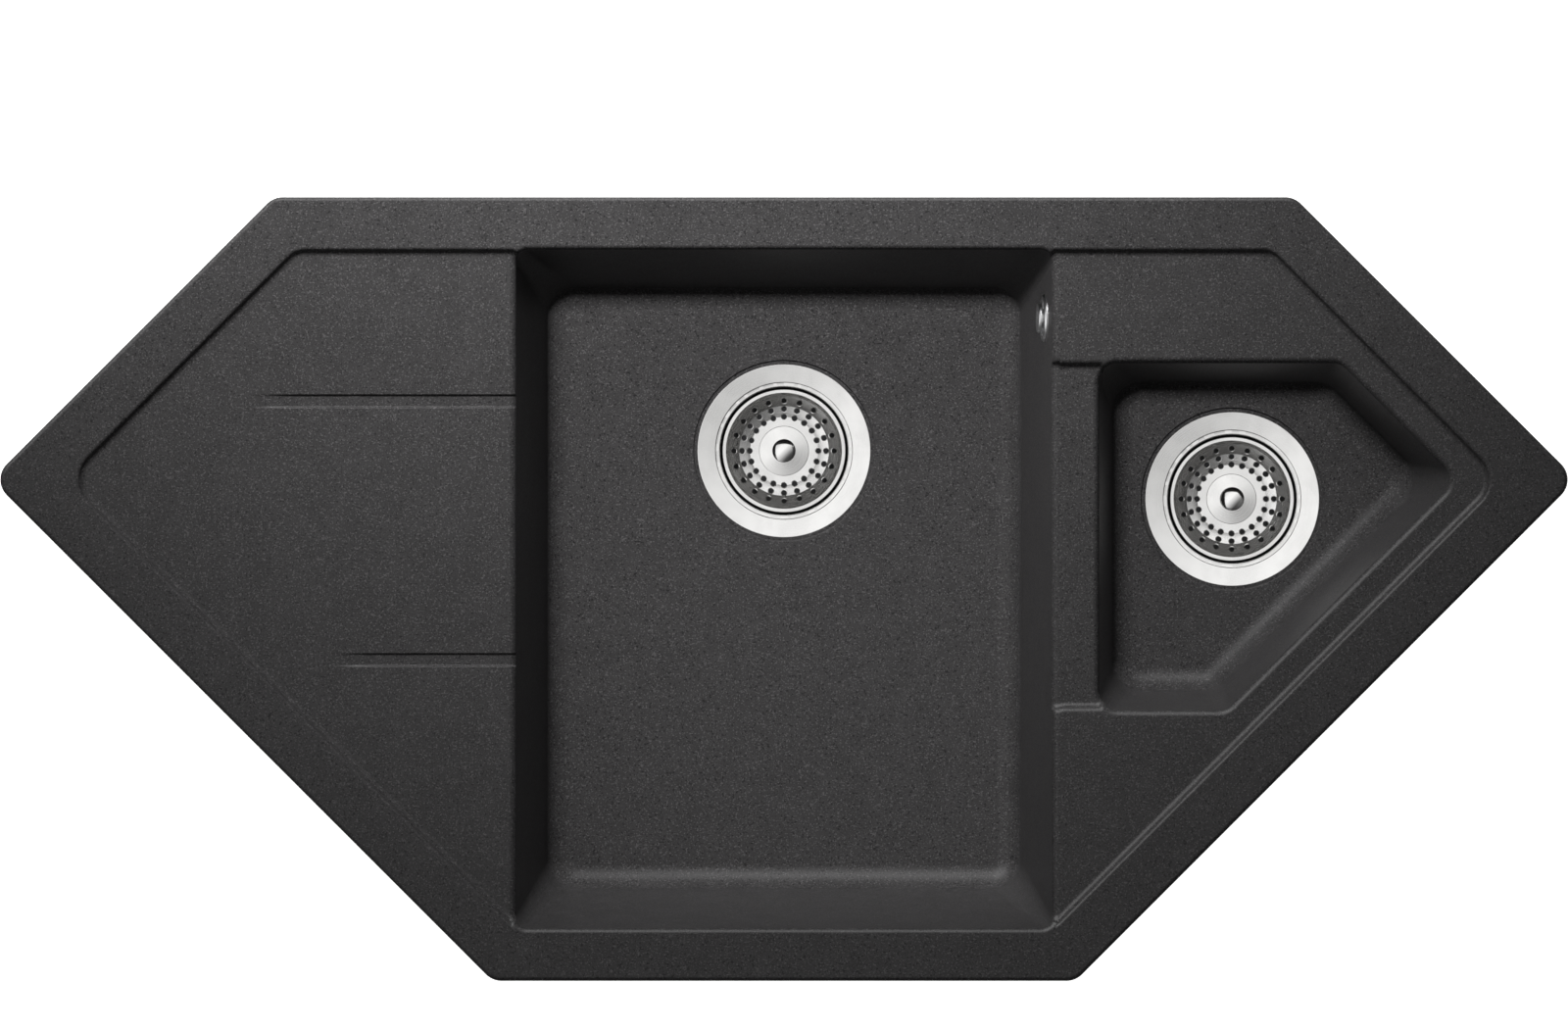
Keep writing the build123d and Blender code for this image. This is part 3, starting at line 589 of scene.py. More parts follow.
@dataclass
class Bowl:
    """A bowl: lip, leaning walls, hollow foot and level floor, with the drain's seat and hole in the floor.

    The loop is the wall at rest_z. Each side moves in by the tangent of its draft for each unit of depth, and
    the corners have widened by widen at the floor. The lip's radius goes from the first at the left and right
    to the second at the back and front. The steps are the rings of the lip, the wall and the foot.
    """

    loop: Loop
    rest_z: float
    floor_z: float
    draft: Array
    lip: Pair
    widen: float
    foot: float
    drain: Pair
    seat_radius: float = 62.2
    seat_depth: float = 1.5
    seat_land: float = 0.8
    hole_radius: float = 46.0
    shell: float = 10.0
    around: int = 128
    steps: tuple[int, int, int] = (10, 9, 13)
    probe: float = 0.5
    rounds: int = 14
    samples: int = 6001
    apart: float = 0.002

    def grown(self, z: Array) -> Array:
        """How far each side lies outside its place at rest_z, (heights, sides)."""
        return (z - self.rest_z)[:, None] * np.tan(np.radians(self.draft))

    def wall(self, t: Array, z: Array) -> tuple[Array, Array]:
        """Points of the wall at heights z, one for each t, and their outward normals in plan."""
        return self.loop.at(t, self.grown(z), self.widen * (self.rest_z - z) / (self.rest_z - self.floor_z))

    def slope(self, t: Array, z: Array) -> Array:
        """How far the wall's points move in plan for each unit of height."""
        return (self.wall(t, z + self.probe)[0] - self.wall(t, z - self.probe)[0]) / (2 * self.probe)

    def holds(self, flat: Array, z: Array) -> Array:
        """Whether points lie in the bowl at their own height or in its drain hole, with a little to spare.

        Args:
            flat: points in plan.
            z: their heights.

        Returns:
            The truth for each point.
        """
        out = (flat @ self.loop.normals.T - self.loop.reach - self.grown(z)).max(1)
        away = np.hypot(*(flat - self.drain).T)
        in_hole = (away < self.hole_radius + 0.2) & (z > self.floor_z - self.shell)
        return (out < 0.3) & (z > self.floor_z - 5) | in_hole

    def edge(self, t: Array, height: Height) -> tuple[Array, Array, Array, Array, Array]:
        """Finds where the lip leaves the top.

        The lip is an arc of radius R from level down to the wall's lean d. It starts R cos d outside the
        wall's upper end and R (1 - sin d) above it; the height there is found by repeated substitution.

        Args:
            t: parameters round the bowl.
            height: the top's height at points in plan.

        Returns:
            Outer points, outward normals, heights, radii and leans.
        """
        top = np.full(len(t), 3.0)
        for _ in range(self.rounds):
            way = self.wall(t, top)[1]
            lean = np.arctan((self.slope(t, top) * way).sum(1))
            radius = self.lip[0] + (self.lip[1] - self.lip[0]) * way[:, 1] ** 2
            outer = self.wall(t, top - radius * (1 - np.sin(lean)))[0] + way * column(radius * np.cos(lean))
            top = height(outer)
        return outer, way, top, radius, lean

    def cross(self, height: Height, features: list[Feature], arc: int, side: int) -> Array:
        """Parameters round the bowl: an even spread, and each place where a feature's line meets the lip.

        Args:
            height: the top's height at points in plan.
            features: the features of the top.
            arc: steps on each corner.
            side: steps on each side.

        Returns:
            The parameters, rising.
        """
        dense = np.linspace(0, len(self.loop.corners), self.samples)
        outer = self.edge(dense, height)[0]
        found = []
        for feature in features:
            value = feature.value(outer)
            for level in feature.levels:
                a, b = value[:-1] - level, value[1:] - level
                hit = (a < 0) != (b < 0)
                hit = np.flatnonzero(np.isfinite(a) & np.isfinite(b) & hit & (abs(a - b) < 2))
                found.append(dense[hit] + a[hit] / (a[hit] - b[hit]) * (dense[1] - dense[0]))
        marks = np.concatenate(found)
        even = self.loop.spread(arc, side)
        even = even[np.abs(even[:, None] - marks).min(1) > self.apart]
        marks = np.unique(np.round(np.concatenate([even, marks]), 7))
        return marks[np.diff(marks, append=99.0) > 1e-6]

    def build(self, skin: Skin, t: Array, height: Height) -> None:
        """Adds lip, wall, foot, floor, seat and drain hole to a skin.

        Args:
            skin: takes the patches.
            t: parameters round the bowl.
            height: the top's height at points in plan.
        """
        outer, way, top, radius, lean = self.edge(t, height)
        across = np.column_stack([way, np.zeros(len(t))])
        up = np.array([0.0, 0.0, 1.0])
        lip, wall, foot = (np.linspace(0, 1, count) for count in self.steps)
        rows, falls = [], []
        start = np.column_stack([outer, top])
        for share in lip:
            bend = share * (math.pi / 2 - lean)
            inwards = across * column(radius * np.sin(bend))
            rows.append(start - inwards - up * column(radius * (1 - np.cos(bend))))
            falls.append(-across * column(np.cos(bend)) - up * column(np.sin(bend)))
        high = rows[-1][:, 2]
        low = self.floor_z + self.foot * (1 - np.sin(lean))
        for share in wall[1:]:
            z = high + share * (low - high)
            rows.append(np.column_stack([self.wall(t, z)[0], z]))
            falls.append(np.column_stack([-self.slope(t, z), -np.ones(len(t))]))
        base = rows[-1]
        for share in foot[1:]:
            turn = lean + share * (math.pi / 2 - lean)
            inwards = across * column(self.foot * (np.cos(turn) - np.cos(lean)))
            rows.append(base + inwards - up * column(self.foot * (np.sin(turn) - np.sin(lean))))
            falls.append(-across * column(np.sin(turn)) - up * column(np.cos(turn)))
        skin.grid(np.array(rows), np.array(falls))
        seat = np.array(self.drain) + (self.seat_radius + self.seat_land) * circle(self.around)
        at, faces = fill([rows[-1][:, :2], seat], [])
        skin.level(at, faces, self.floor_z)
        r, deep, hole = self.seat_radius, -self.seat_depth, self.hole_radius
        section = profile((r + self.seat_land, 0), (r, 0, 0.7), (r, deep, 0.6), (hole, deep, 1.0),
                          (hole, -self.shell))
        skin.turned(section, (*self.drain, self.floor_z), self.around)


@dataclass
class Casting:
    """The cast sink: rim, recessed deck, drainer with two grooves, two bowls and the divider between them.

    Lengths are in millimetres from the sink's middle and the worktop's surface, drafts in degrees. A groove
    has the places of its middle line and of its faded end. The points of a loop are for each corner and side.
    """

    length_tip: float = 536.2132
    half_width: float = 265.0
    tip_y: float = 74.0
    corner: float = 15.0
    rim_z: float = 8.0
    edge: float = 3.0
    edge_foot: float = 0.4
    recess_inset: float = 33.7
    recess_step: Step = Step(5.0, 2.6, 4.2)
    recess_tip: float = 23.0
    recess_corner: float = 18.0
    divider_step: Step = Step(5.0, 4.0, 4.0)
    divider_back: float = 155.5
    divider_front: float = -83.6
    divider_round: float = 3.5
    divider_left: float = 186.1
    divider_end: float = 232.0
    grooves: tuple[Pair, ...] = ((127.0, -367.0), (-48.0, -311.0))
    groove_half: float = 4.9
    groove_side: float = 1.8
    groove_depth: float = 2.0
    groove_fade: float = 55.0
    groove_stop: float = -170.0
    main_side: float = 181.094
    main_end: float = 228.5
    main_corner: float = 9.0
    half_left: float = 213.094
    half_back: float = 152.5
    half_front: float = -81.66
    half_tip: float = 454.755
    half_corner: float = 13.0
    outer_points: tuple[int, int] = (12, 8)
    recess_points: tuple[int, int] = (14, 60)
    lip_points: tuple[int, int] = (14, 16)
    cover: float = 3.0

    def outline(self, inset: float, tip: float, corner: float) -> Loop:
        """The six-sided outline moved inwards: its four slanted sides run at 45 degrees.

        Args:
            inset: how far each side moves in.
            tip: radius of the left and right corners.
            corner: radius of the other four.

        Returns:
            The outline.
        """
        y = self.half_width - inset
        end = self.length_tip - inset * math.sqrt(2)
        back, front = end + self.tip_y - y, end - self.tip_y - y
        corners = [(front, -y), (end, self.tip_y), (back, y), (-back, y), (-end, self.tip_y), (-front, -y)]
        return Loop(np.array(corners), np.array([corner, tip, corner, corner, tip, corner]))

    def __post_init__(self) -> None:
        """Lays out the outline, the recess and both bowls."""
        self.outer = self.outline(0.0, self.corner, self.corner)
        self.recess = self.outline(self.recess_inset, self.recess_tip, self.recess_corner)
        x, y = self.main_side, self.main_end
        main = Loop(np.array([(-x, -y), (x, -y), (x, y), (-x, y)]), self.main_corner)
        self.main = Bowl(main, rest_z=-2.0, floor_z=-182.0, draft=np.array([7.3, 6.2, 7.3, 6.2]),
                         lip=(5.0, 3.5), widen=12.0, foot=17.0, drain=(0.0, 94.3))
        x, y, back, front = self.half_tip, self.tip_y, self.half_back, self.half_front
        corners = [(self.half_left, front), (x - (y - front), front), (x, y), (x - (back - y), back),
                   (self.half_left, back)]
        half = Loop(np.array(corners), self.half_corner)
        self.half = Bowl(half, rest_z=-2.0, floor_z=-122.0, draft=np.full(5, 5.9), lip=(4.6, 4.6), widen=9.0,
                         foot=17.0, drain=(306.894, 61.1))

    def ledge(self, at: Array, back: bool) -> Array:
        """Distance from the deck behind or before the divider, whose corner at the main bowl is round.

        Args:
            at: points in plan.
            back: whether the deck behind the divider is meant.

        Returns:
            The distances, and no number away from the divider.
        """
        r = self.divider_round
        x = np.maximum(self.divider_left + r - at[:, 0], 0)
        y = self.divider_back + r - at[:, 1] if back else at[:, 1] - self.divider_front + r
        out = np.where(y > 0, np.hypot(x, y), 0) - r
        return np.where((at[:, 0] > 0) & (at[:, 0] < self.divider_end), out, np.nan)

    def groove(self, at: Array, y: float, end: float) -> Array:
        """Depth of a groove: level across its bottom, S-shaped at its sides, rising to nothing at its end.

        Args:
            at: points in plan.
            y: the groove's middle line.
            end: its faded end.

        Returns:
            The depths.
        """
        across = np.clip((self.groove_half - np.abs(at[:, 1] - y)) / self.groove_side, 0, 1)
        along = np.clip((at[:, 0] - end) / self.groove_fade, 0, 1)
        depth = self.groove_depth * across**2 * (3 - 2 * across) * along**2 * (3 - 2 * along)
        return np.where(at[:, 0] < 0, depth, 0.0)

    def height(self, at: Array) -> Array:
        """Height of the top without the bowls: the rim less the falls of recess, divider and grooves.

        Args:
            at: points in plan.

        Returns:
            The heights.
        """
        z = self.rim_z - self.recess_step.fall(-self.recess.distance(at))
        out = np.minimum(self.ledge(at, True), self.ledge(at, False))
        z -= np.where(np.isfinite(out), self.divider_step.fall(np.nan_to_num(out)), 0.0)
        for y, end in self.grooves:
            z -= self.groove(at, y, end)
        return z

    def normal(self, at: Array) -> Array:
        """Normals of the top from the slope of its height.

        Args:
            at: points in plan.

        Returns:
            The normals, of any length.
        """
        d = 0.02
        x, y = np.array([d, 0.0]), np.array([0.0, d])
        return np.stack([self.height(at - x) - self.height(at + x), self.height(at - y) - self.height(at + y),
                         np.full(len(at), 2 * d)], 1)

    def features(self) -> list[Feature]:
        """The lines that the top's mesh follows: recess step, both ends of the divider, groove sides.

        Returns:
            The features.
        """
        levels = self.recess_step.levels()
        t = np.append(self.recess.spread(*self.recess_points), len(self.recess.corners) - 1e-9)
        made = [Feature(lambda p: -self.recess.distance(p), levels,
                        [self.recess.at(t, -run, -run)[0] for run in levels])]
        levels = self.divider_step.levels()
        r, x = self.divider_round, self.divider_left
        turn = polar(np.linspace(math.pi, 1.5 * math.pi, 13))
        straight = np.arange(1.0, self.divider_end - x - r, 1.0)
        for back in (True, False):
            mirror = (1, 1 if back else -1)
            corner = (x + r, self.divider_back + r if back else self.divider_front - r)
            lines = []
            for run in levels:
                onward = np.stack([straight, np.full(len(straight), -(r + run))], 1)
                lines.append(np.concatenate([turn * (r + run), onward]) * mirror + corner)
            made.append(Feature(lambda p, back=back: self.ledge(p, back), levels, lines))
        across = self.groove_half - np.linspace(0, self.groove_side, 7)
        for y, end in self.grooves:
            faded = end + self.groove_fade
            x = np.concatenate([np.linspace(end, faded, 14), np.arange(faded + 8, self.groove_stop, 2.0)])

            def off(at: Array, y: float = y) -> Array:
                """Distance of points on the drainer from the groove's middle line."""
                return np.where(at[:, 0] < -100, at[:, 1] - y, np.nan)

            for side in (1, -1):
                lines = [np.stack([x, np.full(len(x), y + side * w)], 1) for w in across]
                made.append(Feature(off, side * across, lines))
        return made

    def build(self) -> Skin:
        """Makes the whole upper surface: edge, top, and both bowls.

        Returns:
            The skin of the surface.
        """
        skin = Skin()
        t = self.outer.spread(*self.outer_points)
        rows, falls = [], []
        sections = [(self.edge_foot, 0.0, 1.0, 0.0), (0.0, 0.0, 0.0, 1.0)]
        for lean in np.linspace(0, math.pi / 2, 8):
            sine, cosine = math.sin(lean), math.cos(lean)
            z = self.rim_z - self.edge + self.edge * sine
            sections.append((self.edge * (1 - cosine), z, sine, cosine))
        for inset, z, inwards, up in sections:
            at, way = self.outer.at(t, -inset, -inset)
            rows.append(np.column_stack([at, np.full(len(t), z)]))
            falls.append(np.column_stack([-way * inwards, np.full(len(t), up)]))
        skin.grid(np.array(rows), np.array(falls))
        features = self.features()
        rings = [rows[-1][:, :2]]
        for bowl in (self.main, self.half):
            marks = bowl.cross(self.height, features, *self.lip_points)
            bowl.build(skin, marks, self.height)
            rings.append(bowl.edge(marks, self.height)[0])
        lines = []
        for feature in features:
            for line in feature.lines:
                lines += self.trim(line, rings[1:])
        at, faces = fill(rings, lines)
        skin.add(np.column_stack([at, self.height(at)]), self.normal(at), faces)
        return skin

    @staticmethod
    def trim(line: Array, rings: list[Array]) -> list[Array]:
        """Cuts a line where it runs over a bowl, and ends it on the lip's nearest point there.

        Args:
            line: points in plan.
            rings: outer edges of the bowls' lips.

        Returns:
            The pieces that are left.
        """
        over = np.any([inside(ring, line) for ring in rings], 0)
        ends = np.concatenate(rings)
        cuts = np.flatnonzero(over[1:] != over[:-1]) + 1
        knots = {}
        for cut in cuts:
            fine = line[cut - 1] + np.linspace(0, 1, 65)[:, None] * (line[cut] - line[cut - 1])
            found = np.any([inside(ring, fine) for ring in rings], 0)
            hit = fine[(found if over[cut] else ~found).argmax()]
            knots[cut] = ends[np.hypot(*(ends - hit).T).argmin()]
        pieces = []
        for first, last in zip([0, *cuts], [*cuts, len(line)]):
            if not over[first]:
                parts = [knots[first]] if first else []
                parts += [line[first:last]] + ([knots[last]] if last < len(line) else [])
                pieces.append(np.vstack(parts))
        return [piece for piece in pieces if len(piece) > 1]

    def over(self, probe: Array) -> Array:
        """Whether points near the casting lie on its upper, open side.

        A point does if it is outside the outline above the worktop, no more than cover under the top, or in a
        bowl or its drain hole.

        Args:
            probe: points (n, 3).

        Returns:
            The truth for each point.
        """
        flat, z = probe[:, :2], probe[:, 2]
        found = (self.outer.distance(flat) > 0) & (z > 0)
        found |= z > self.height(flat) - self.cover
        for bowl in (self.main, self.half):
            found |= bowl.holds(flat, z)
        return found

    def underside(self, name: str) -> Piece:
        """Copies the faces of the CAD node that lie below the upper surface, with their own normals.

        Args:
            name: the object's name.

        Returns:
            The object.
        """
        mesh = frame["nodes"]["sink_body"].data
        points = np.empty(3 * len(mesh.vertices))
        mesh.vertices.foreach_get("co", points)
        corners = np.empty(len(mesh.loops), int)
        mesh.loops.foreach_get("vertex_index", corners)
        normals = np.empty(3 * len(mesh.loops))
        mesh.corner_normals.foreach_get("vector", normals)
        points, triangles, normals = points.reshape(-1, 3), corners.reshape(-1, 3), normals.reshape(-1, 3, 3)
        a, b, c = (points[triangles[:, i]] for i in range(3))
        keep = ~self.over((a + b + c) / 3 / MM + unit(np.cross(b - a, c - a)))
        unique, where = np.unique(np.round(points, 7), axis=0, return_inverse=True)
        triangles, normals = where.reshape(-1)[triangles[keep]], normals[keep]
        whole = (triangles != np.roll(triangles, -1, 1)).all(1)
        used, triangles = np.unique(triangles[whole], return_inverse=True)
        made = bpy.data.meshes.new(name)
        made.from_pydata(unique[used].tolist(), [], triangles.reshape(-1, 3).tolist())
        made.shade_smooth()
        made.normals_split_custom_set(normals[whole].reshape(-1, 3).tolist())
        log.info("%s keeps %d faces", name, len(made.polygons))
        return show(name, made)


@dataclass(frozen=True)
class Composite:
    """Cast stone composite: dark grey with fine paler and darker grains, matt."""

    base: Colour = (0.047, 0.0455, 0.0462)
    pale: Colour = (0.112, 0.108, 0.11)
    dark: Colour = (0.015, 0.0145, 0.015)
    grain: float = 0.001
    roughness: float = 0.46
    specular: float = 0.06

    def material(self) -> bpy.types.Material:
        """Builds the speckled material: two sizes of cells pick pale grains, a third picks dark ones.

        Returns:
            The material.
        """
        g = Graph(bpy.data.materials.new("cast_composite"))
        at = g.place()
        cloud = g.noise(at, 55.0, 3.0)
        colour = g.mix(g.ramp(cloud, 0.3, 0.7), shade(self.base, 0.93), shade(self.base, 1.07))
        fine = g.noise(at, 0.9 / self.grain, 1.0, 0.4)
        colour = g.mix(g.ramp(fine, 0.56, 0.74), colour, self.pale)
        coarse = g.noise(at, 0.42 / self.grain, 1.5, 0.5)
        colour = g.mix(g.ramp(coarse, 0.62, 0.75, 0.0, 0.7), colour, self.pale)
        pits = g.noise(g.place(Vector((0.31, 0.17, 0.05))), 0.7 / self.grain, 1.0, 0.4)
        colour = g.mix(g.ramp(pits, 0.57, 0.73, 0.0, 0.85), colour, self.dark)
        bumps = g.bump(g.noise(at, 1.6 / self.grain, 2.0), 0.00006, 0.6)
        rough = g.ramp(fine, 0.3, 0.7, self.roughness - 0.05, self.roughness + 0.06)
        return g.finish(Base_Color=colour, Roughness=rough, Specular_IOR_Level=self.specular, Normal=bumps)


@dataclass(frozen=True)
class SatinSteel:
    """Turned or pressed stainless steel with fine rings round a centre."""

    colour: Colour = (0.74, 0.735, 0.725)
    roughness: float = 0.24
    rings: float = 2600.0

    def material(self, name: str, centre: Vector) -> bpy.types.Material:
        """Builds the material; the rings are noise of the distance from the centre.

        Args:
            name: the material's name.
            centre: a point on the upright axis of the rings.

        Returns:
            The material.
        """
        g = Graph(bpy.data.materials.new(name))
        at = g.place(centre)
        flat = g.node("VectorMath", {0: at, 1: (1, 1, 0)}, operation="MULTIPLY").outputs[0]
        radius = g.node("VectorMath", {0: flat}, operation="LENGTH").outputs["Value"]
        line = g.node("CombineXYZ", {"X": radius}).outputs[0]
        rings = g.noise(line, self.rings, 3.0, 0.7)
        smudge = g.noise(at, 60.0, 3.0)
        rough = g.math("ADD", g.ramp(rings, 0.2, 0.8, self.roughness - 0.05, self.roughness + 0.05),
                       g.ramp(smudge, 0.3, 0.8, -0.02, 0.05))
        tint = g.mix(g.ramp(smudge, 0.3, 0.7), self.colour, shade(self.colour, 0.94))
        return g.finish(Base_Color=tint, Metallic=1.0, Roughness=rough, Normal=g.bump(rings, 0.000005, 0.5))


@dataclass(frozen=True)
class PolishedChrome:
    """Polished chrome plating with faint wiping marks."""

    colour: Colour = (0.86, 0.865, 0.87)
    roughness: float = 0.3

    def material(self) -> bpy.types.Material:
        """Builds the material, a little duller in soft patches.

        Returns:
            The material.
        """
        g = Graph(bpy.data.materials.new("chrome_plating"))
        at = g.place()
        marks = g.noise(at, 140.0, 4.0, 0.6)
        tint = g.mix(g.ramp(marks, 0.3, 0.7), self.colour, shade(self.colour, 0.97))
        rough = g.ramp(marks, 0.35, 0.8, self.roughness, self.roughness + 0.08)
        return g.finish(Base_Color=tint, Metallic=1.0, Roughness=rough)


@dataclass(frozen=True)
class ZincPlate:
    """Bright zinc plating with soft crystalline patches."""

    colour: Colour = (0.58, 0.59, 0.6)
    roughness: float = 0.36

    def material(self) -> bpy.types.Material:
        """Builds the material: cells of slightly different greys.

        Returns:
            The material.
        """
        g = Graph(bpy.data.materials.new("zinc_plating"))
        at = g.place()
        cells = g.node("TexVoronoi", {"Vector": at, "Scale": 380.0}).outputs["Color"]
        value = g.node("SeparateColor", {0: cells}).outputs[0]
        tint = g.mix(value, shade(self.colour, 0.88), shade(self.colour, 1.08))
        rough = g.ramp(value, 0.0, 1.0, self.roughness - 0.08, self.roughness + 0.08)
        return g.finish(Base_Color=tint, Metallic=1.0, Roughness=rough, Normal=g.bump(value, 0.00002, 0.3))


@dataclass(frozen=True)
class Moulded:
    """Moulded plastic or rubber: an even colour with fine texture and soft flow marks."""

    name: str
    colour: Colour
    roughness: float
    texture: float = 900.0
    depth: float = 0.00003
    specular: float = 0.5

    def material(self) -> bpy.types.Material:
        """Builds the material: flow marks vary the colour, fine noise varies height and roughness.

        Returns:
            The material.
        """
        g = Graph(bpy.data.materials.new(self.name))
        at = g.place()
        flow = g.noise(at, 24.0, 3.0)
        fine = g.noise(at, self.texture, 2.0)
        tint = g.mix(g.ramp(flow, 0.3, 0.7), shade(self.colour, 0.92), shade(self.colour, 1.05))
        rough = g.ramp(fine, 0.3, 0.7, self.roughness - 0.06, self.roughness + 0.06)
        return g.finish(Base_Color=tint, Roughness=rough, Specular_IOR_Level=self.specular,
                        Normal=g.bump(fine, self.depth, 0.5))


@dataclass
class Studio:
    """Camera, lights, floor and world, arranged as in the photograph: seen from straight above.

    The bank of light has pairs of the cosine to bank_way and the level there.
    """

    camera_y: float = 0.0494
    camera_height: float = 10.008
    lens: float = 339.6
    floor_gap: float = 0.0005
    floor_half: float = 30.0
    floor_colour: float = 0.8
    floor_glow: float = 0.85
    sky: float = 0.08
    bank_way: Pair = (-0.7, 0.714)
    bank: tuple[Pair, ...] = ((-0.8, 0.04), (-0.55, 0.13), (-0.31, 0.45), (-0.17, 0.64),
                                             (0.0, 0.84), (0.14, 1.0), (0.5, 0.95), (1.0, 0.4))
    bank_level: float = 1.3
    key_place: Point = (-0.386, 1.448, 1.066)
    key_aim: Point = (-0.145, 0.651, 0.0)
    key_cone: float = 0.95
    key_size: float = 0.12
    key_power: float = 220.0
    fill_place: Point = (-0.5, 0.7, 3.0)
    fill_angle: float = 0.35
    fill: float = 0.18
    glint_place: Point = (-0.96, 2.26, 1.72)
    glint_angle: float = 0.9
    glint: float = 17.0

    def camera(self) -> None:
        """Makes the camera, which looks straight down with +Y up in the picture."""
        data = bpy.data.cameras.new("camera")
        data.sensor_width = 36.0
        data.lens = self.lens
        data.clip_end = 100.0
        made = show("camera", data)
        made.location = (0.0, self.camera_y, self.camera_height)
        bpy.context.scene.camera = made

    def lamp(self, name: str, kind: str, place: Point, aim: Point, energy: float, gloss: bool = False,
             **settings: float | bool) -> Piece:
        """Makes a lamp that lights either plain colour or gloss.

        Args:
            name: the lamp's name.
            kind: Blender's lamp type.
            place: where it stands, in metres.
            aim: the point that it shines at.
            energy: its power, or its strength for a sun.
            gloss: whether it only shows in gloss; otherwise it never does.
            settings: other attributes of the lamp.

        Returns:
            The lamp's object.
        """
        data = bpy.data.lights.new(name, kind)
        data.energy = energy
        for key, value in settings.items():
            setattr(data, key, value)
        made = show(name, data)
        made.visible_glossy = gloss
        made.visible_diffuse = not gloss
        made.location = place
        made.rotation_mode = "QUATERNION"
        made.rotation_quaternion = (Vector(aim) - Vector(place)).to_track_quat("-Z", "Y")
        return made

    def world(self) -> None:
        """Makes the world: white for the camera, a low even light, and for gloss a bank of light overhead.

        The bank is brightest towards the back left and dark to the front.
        """
        world = bpy.data.worlds.new("studio")
        world.cycles.sampling_method = "NONE"
        bpy.context.scene.world = world
        g = Graph(world, "OutputWorld")
        path = g.node("LightPath", {}).outputs
        way = g.node("TexCoord", {}).outputs["Generated"]
        along = g.node("VectorMath", {0: way, 1: (*self.bank_way, 0.0)}, operation="DOT_PRODUCT")
        bank = g.node("ValToRGB", {0: g.math("MULTIPLY_ADD", along.outputs["Value"], 0.5, 0.5)})
        ramp = bank.color_ramp
        ramp.interpolation = "CARDINAL"
        for step, (cosine, level) in enumerate(self.bank):
            element = ramp.elements[step] if step < 2 else ramp.elements.new(1.0)
            element.position = 0.5 + 0.5 * cosine
            element.color = (level, level, level, 1.0)
        gloss = g.math("MULTIPLY", bank.outputs[0], self.bank_level)
        level = g.node("Mix", {0: path["Is Glossy Ray"], 2: self.sky, 3: gloss}).outputs[0]
        white = g.node("Mix", {0: path["Is Camera Ray"], 2: level, 3: 1.0}).outputs[0]
        g.close(g.node("Background", {0: (1, 1, 1, 1), 1: white}))

    def floor(self) -> None:
        """Makes the pale floor just below the lowest pipe; the camera sees it white where no shadow falls."""
        mesh = bpy.data.meshes.new("floor")
        low, half = CAD_BOX[0].z - self.floor_gap, self.floor_half
        corners = [(-half, -half, low), (half, -half, low), (half, half, low), (-half, half, low)]
        mesh.from_pydata(corners, [], [(0, 1, 2, 3)])
        g = Graph(bpy.data.materials.new("floor"))
        path = g.node("LightPath", {}).outputs
        seen = g.math("MAXIMUM", path["Is Camera Ray"], path["Is Glossy Ray"])
        seen = g.math("MAXIMUM", seen, path["Is Transmission Ray"])
        grey = self.floor_colour
        plain = g.node("BsdfDiffuse", {"Color": (grey, grey, grey, 1)}).outputs[0]
        strength = g.math("MULTIPLY", seen, self.floor_glow)
        glow = g.node("Emission", {"Color": (1, 1, 1, 1), "Strength": strength}).outputs[0]
        g.close(g.node("AddShader", {0: plain, 1: glow}))
        mesh.materials.append(g.owner)
        show("floor", mesh)

    def build(self) -> None:
        """Makes camera, world, floor and the lamps for plain colour."""
        bpy.context.scene.view_settings.view_transform = "Standard"
        self.camera()
        self.world()
        self.floor()
        self.lamp("key", "SPOT", self.key_place, self.key_aim, self.key_power, spot_size=self.key_cone,
                  spot_blend=1.0, shadow_soft_size=self.key_size, use_shadow=False)
        self.lamp("fill", "SUN", self.fill_place, (0.0, 0.0, 0.0), self.fill, angle=self.fill_angle)

    def light_gloss(self, pieces: list[Piece]) -> None:
        """Makes the lamp that draws soft highlights along lips and feet, and lights only the given pieces.

        Args:
            pieces: the pieces that it lights.
        """
        lit = bpy.data.collections.new("glint_receivers")
        for piece in pieces:
            lit.objects.link(piece)
        glint = self.lamp("glint", "SUN", self.glint_place, (0.0, 0.0, 0.0), self.glint, gloss=True,
                          angle=self.glint_angle)
        glint.light_linking.receiver_collection = lit


def dress(piece: Piece, material: bpy.types.Material) -> None:
    """Gives every face of a piece one material."""
    piece.data.materials.clear()
    piece.data.materials.append(material)


@dataclass(frozen=True)
class Row:
    """A row of round holes: its radius, the number of holes and the radius of a hole."""

    radius: float
    count: int
    hole: float

    def centres(self) -> Array:
        """Middles of the holes."""
        return self.radius * circle(self.count)


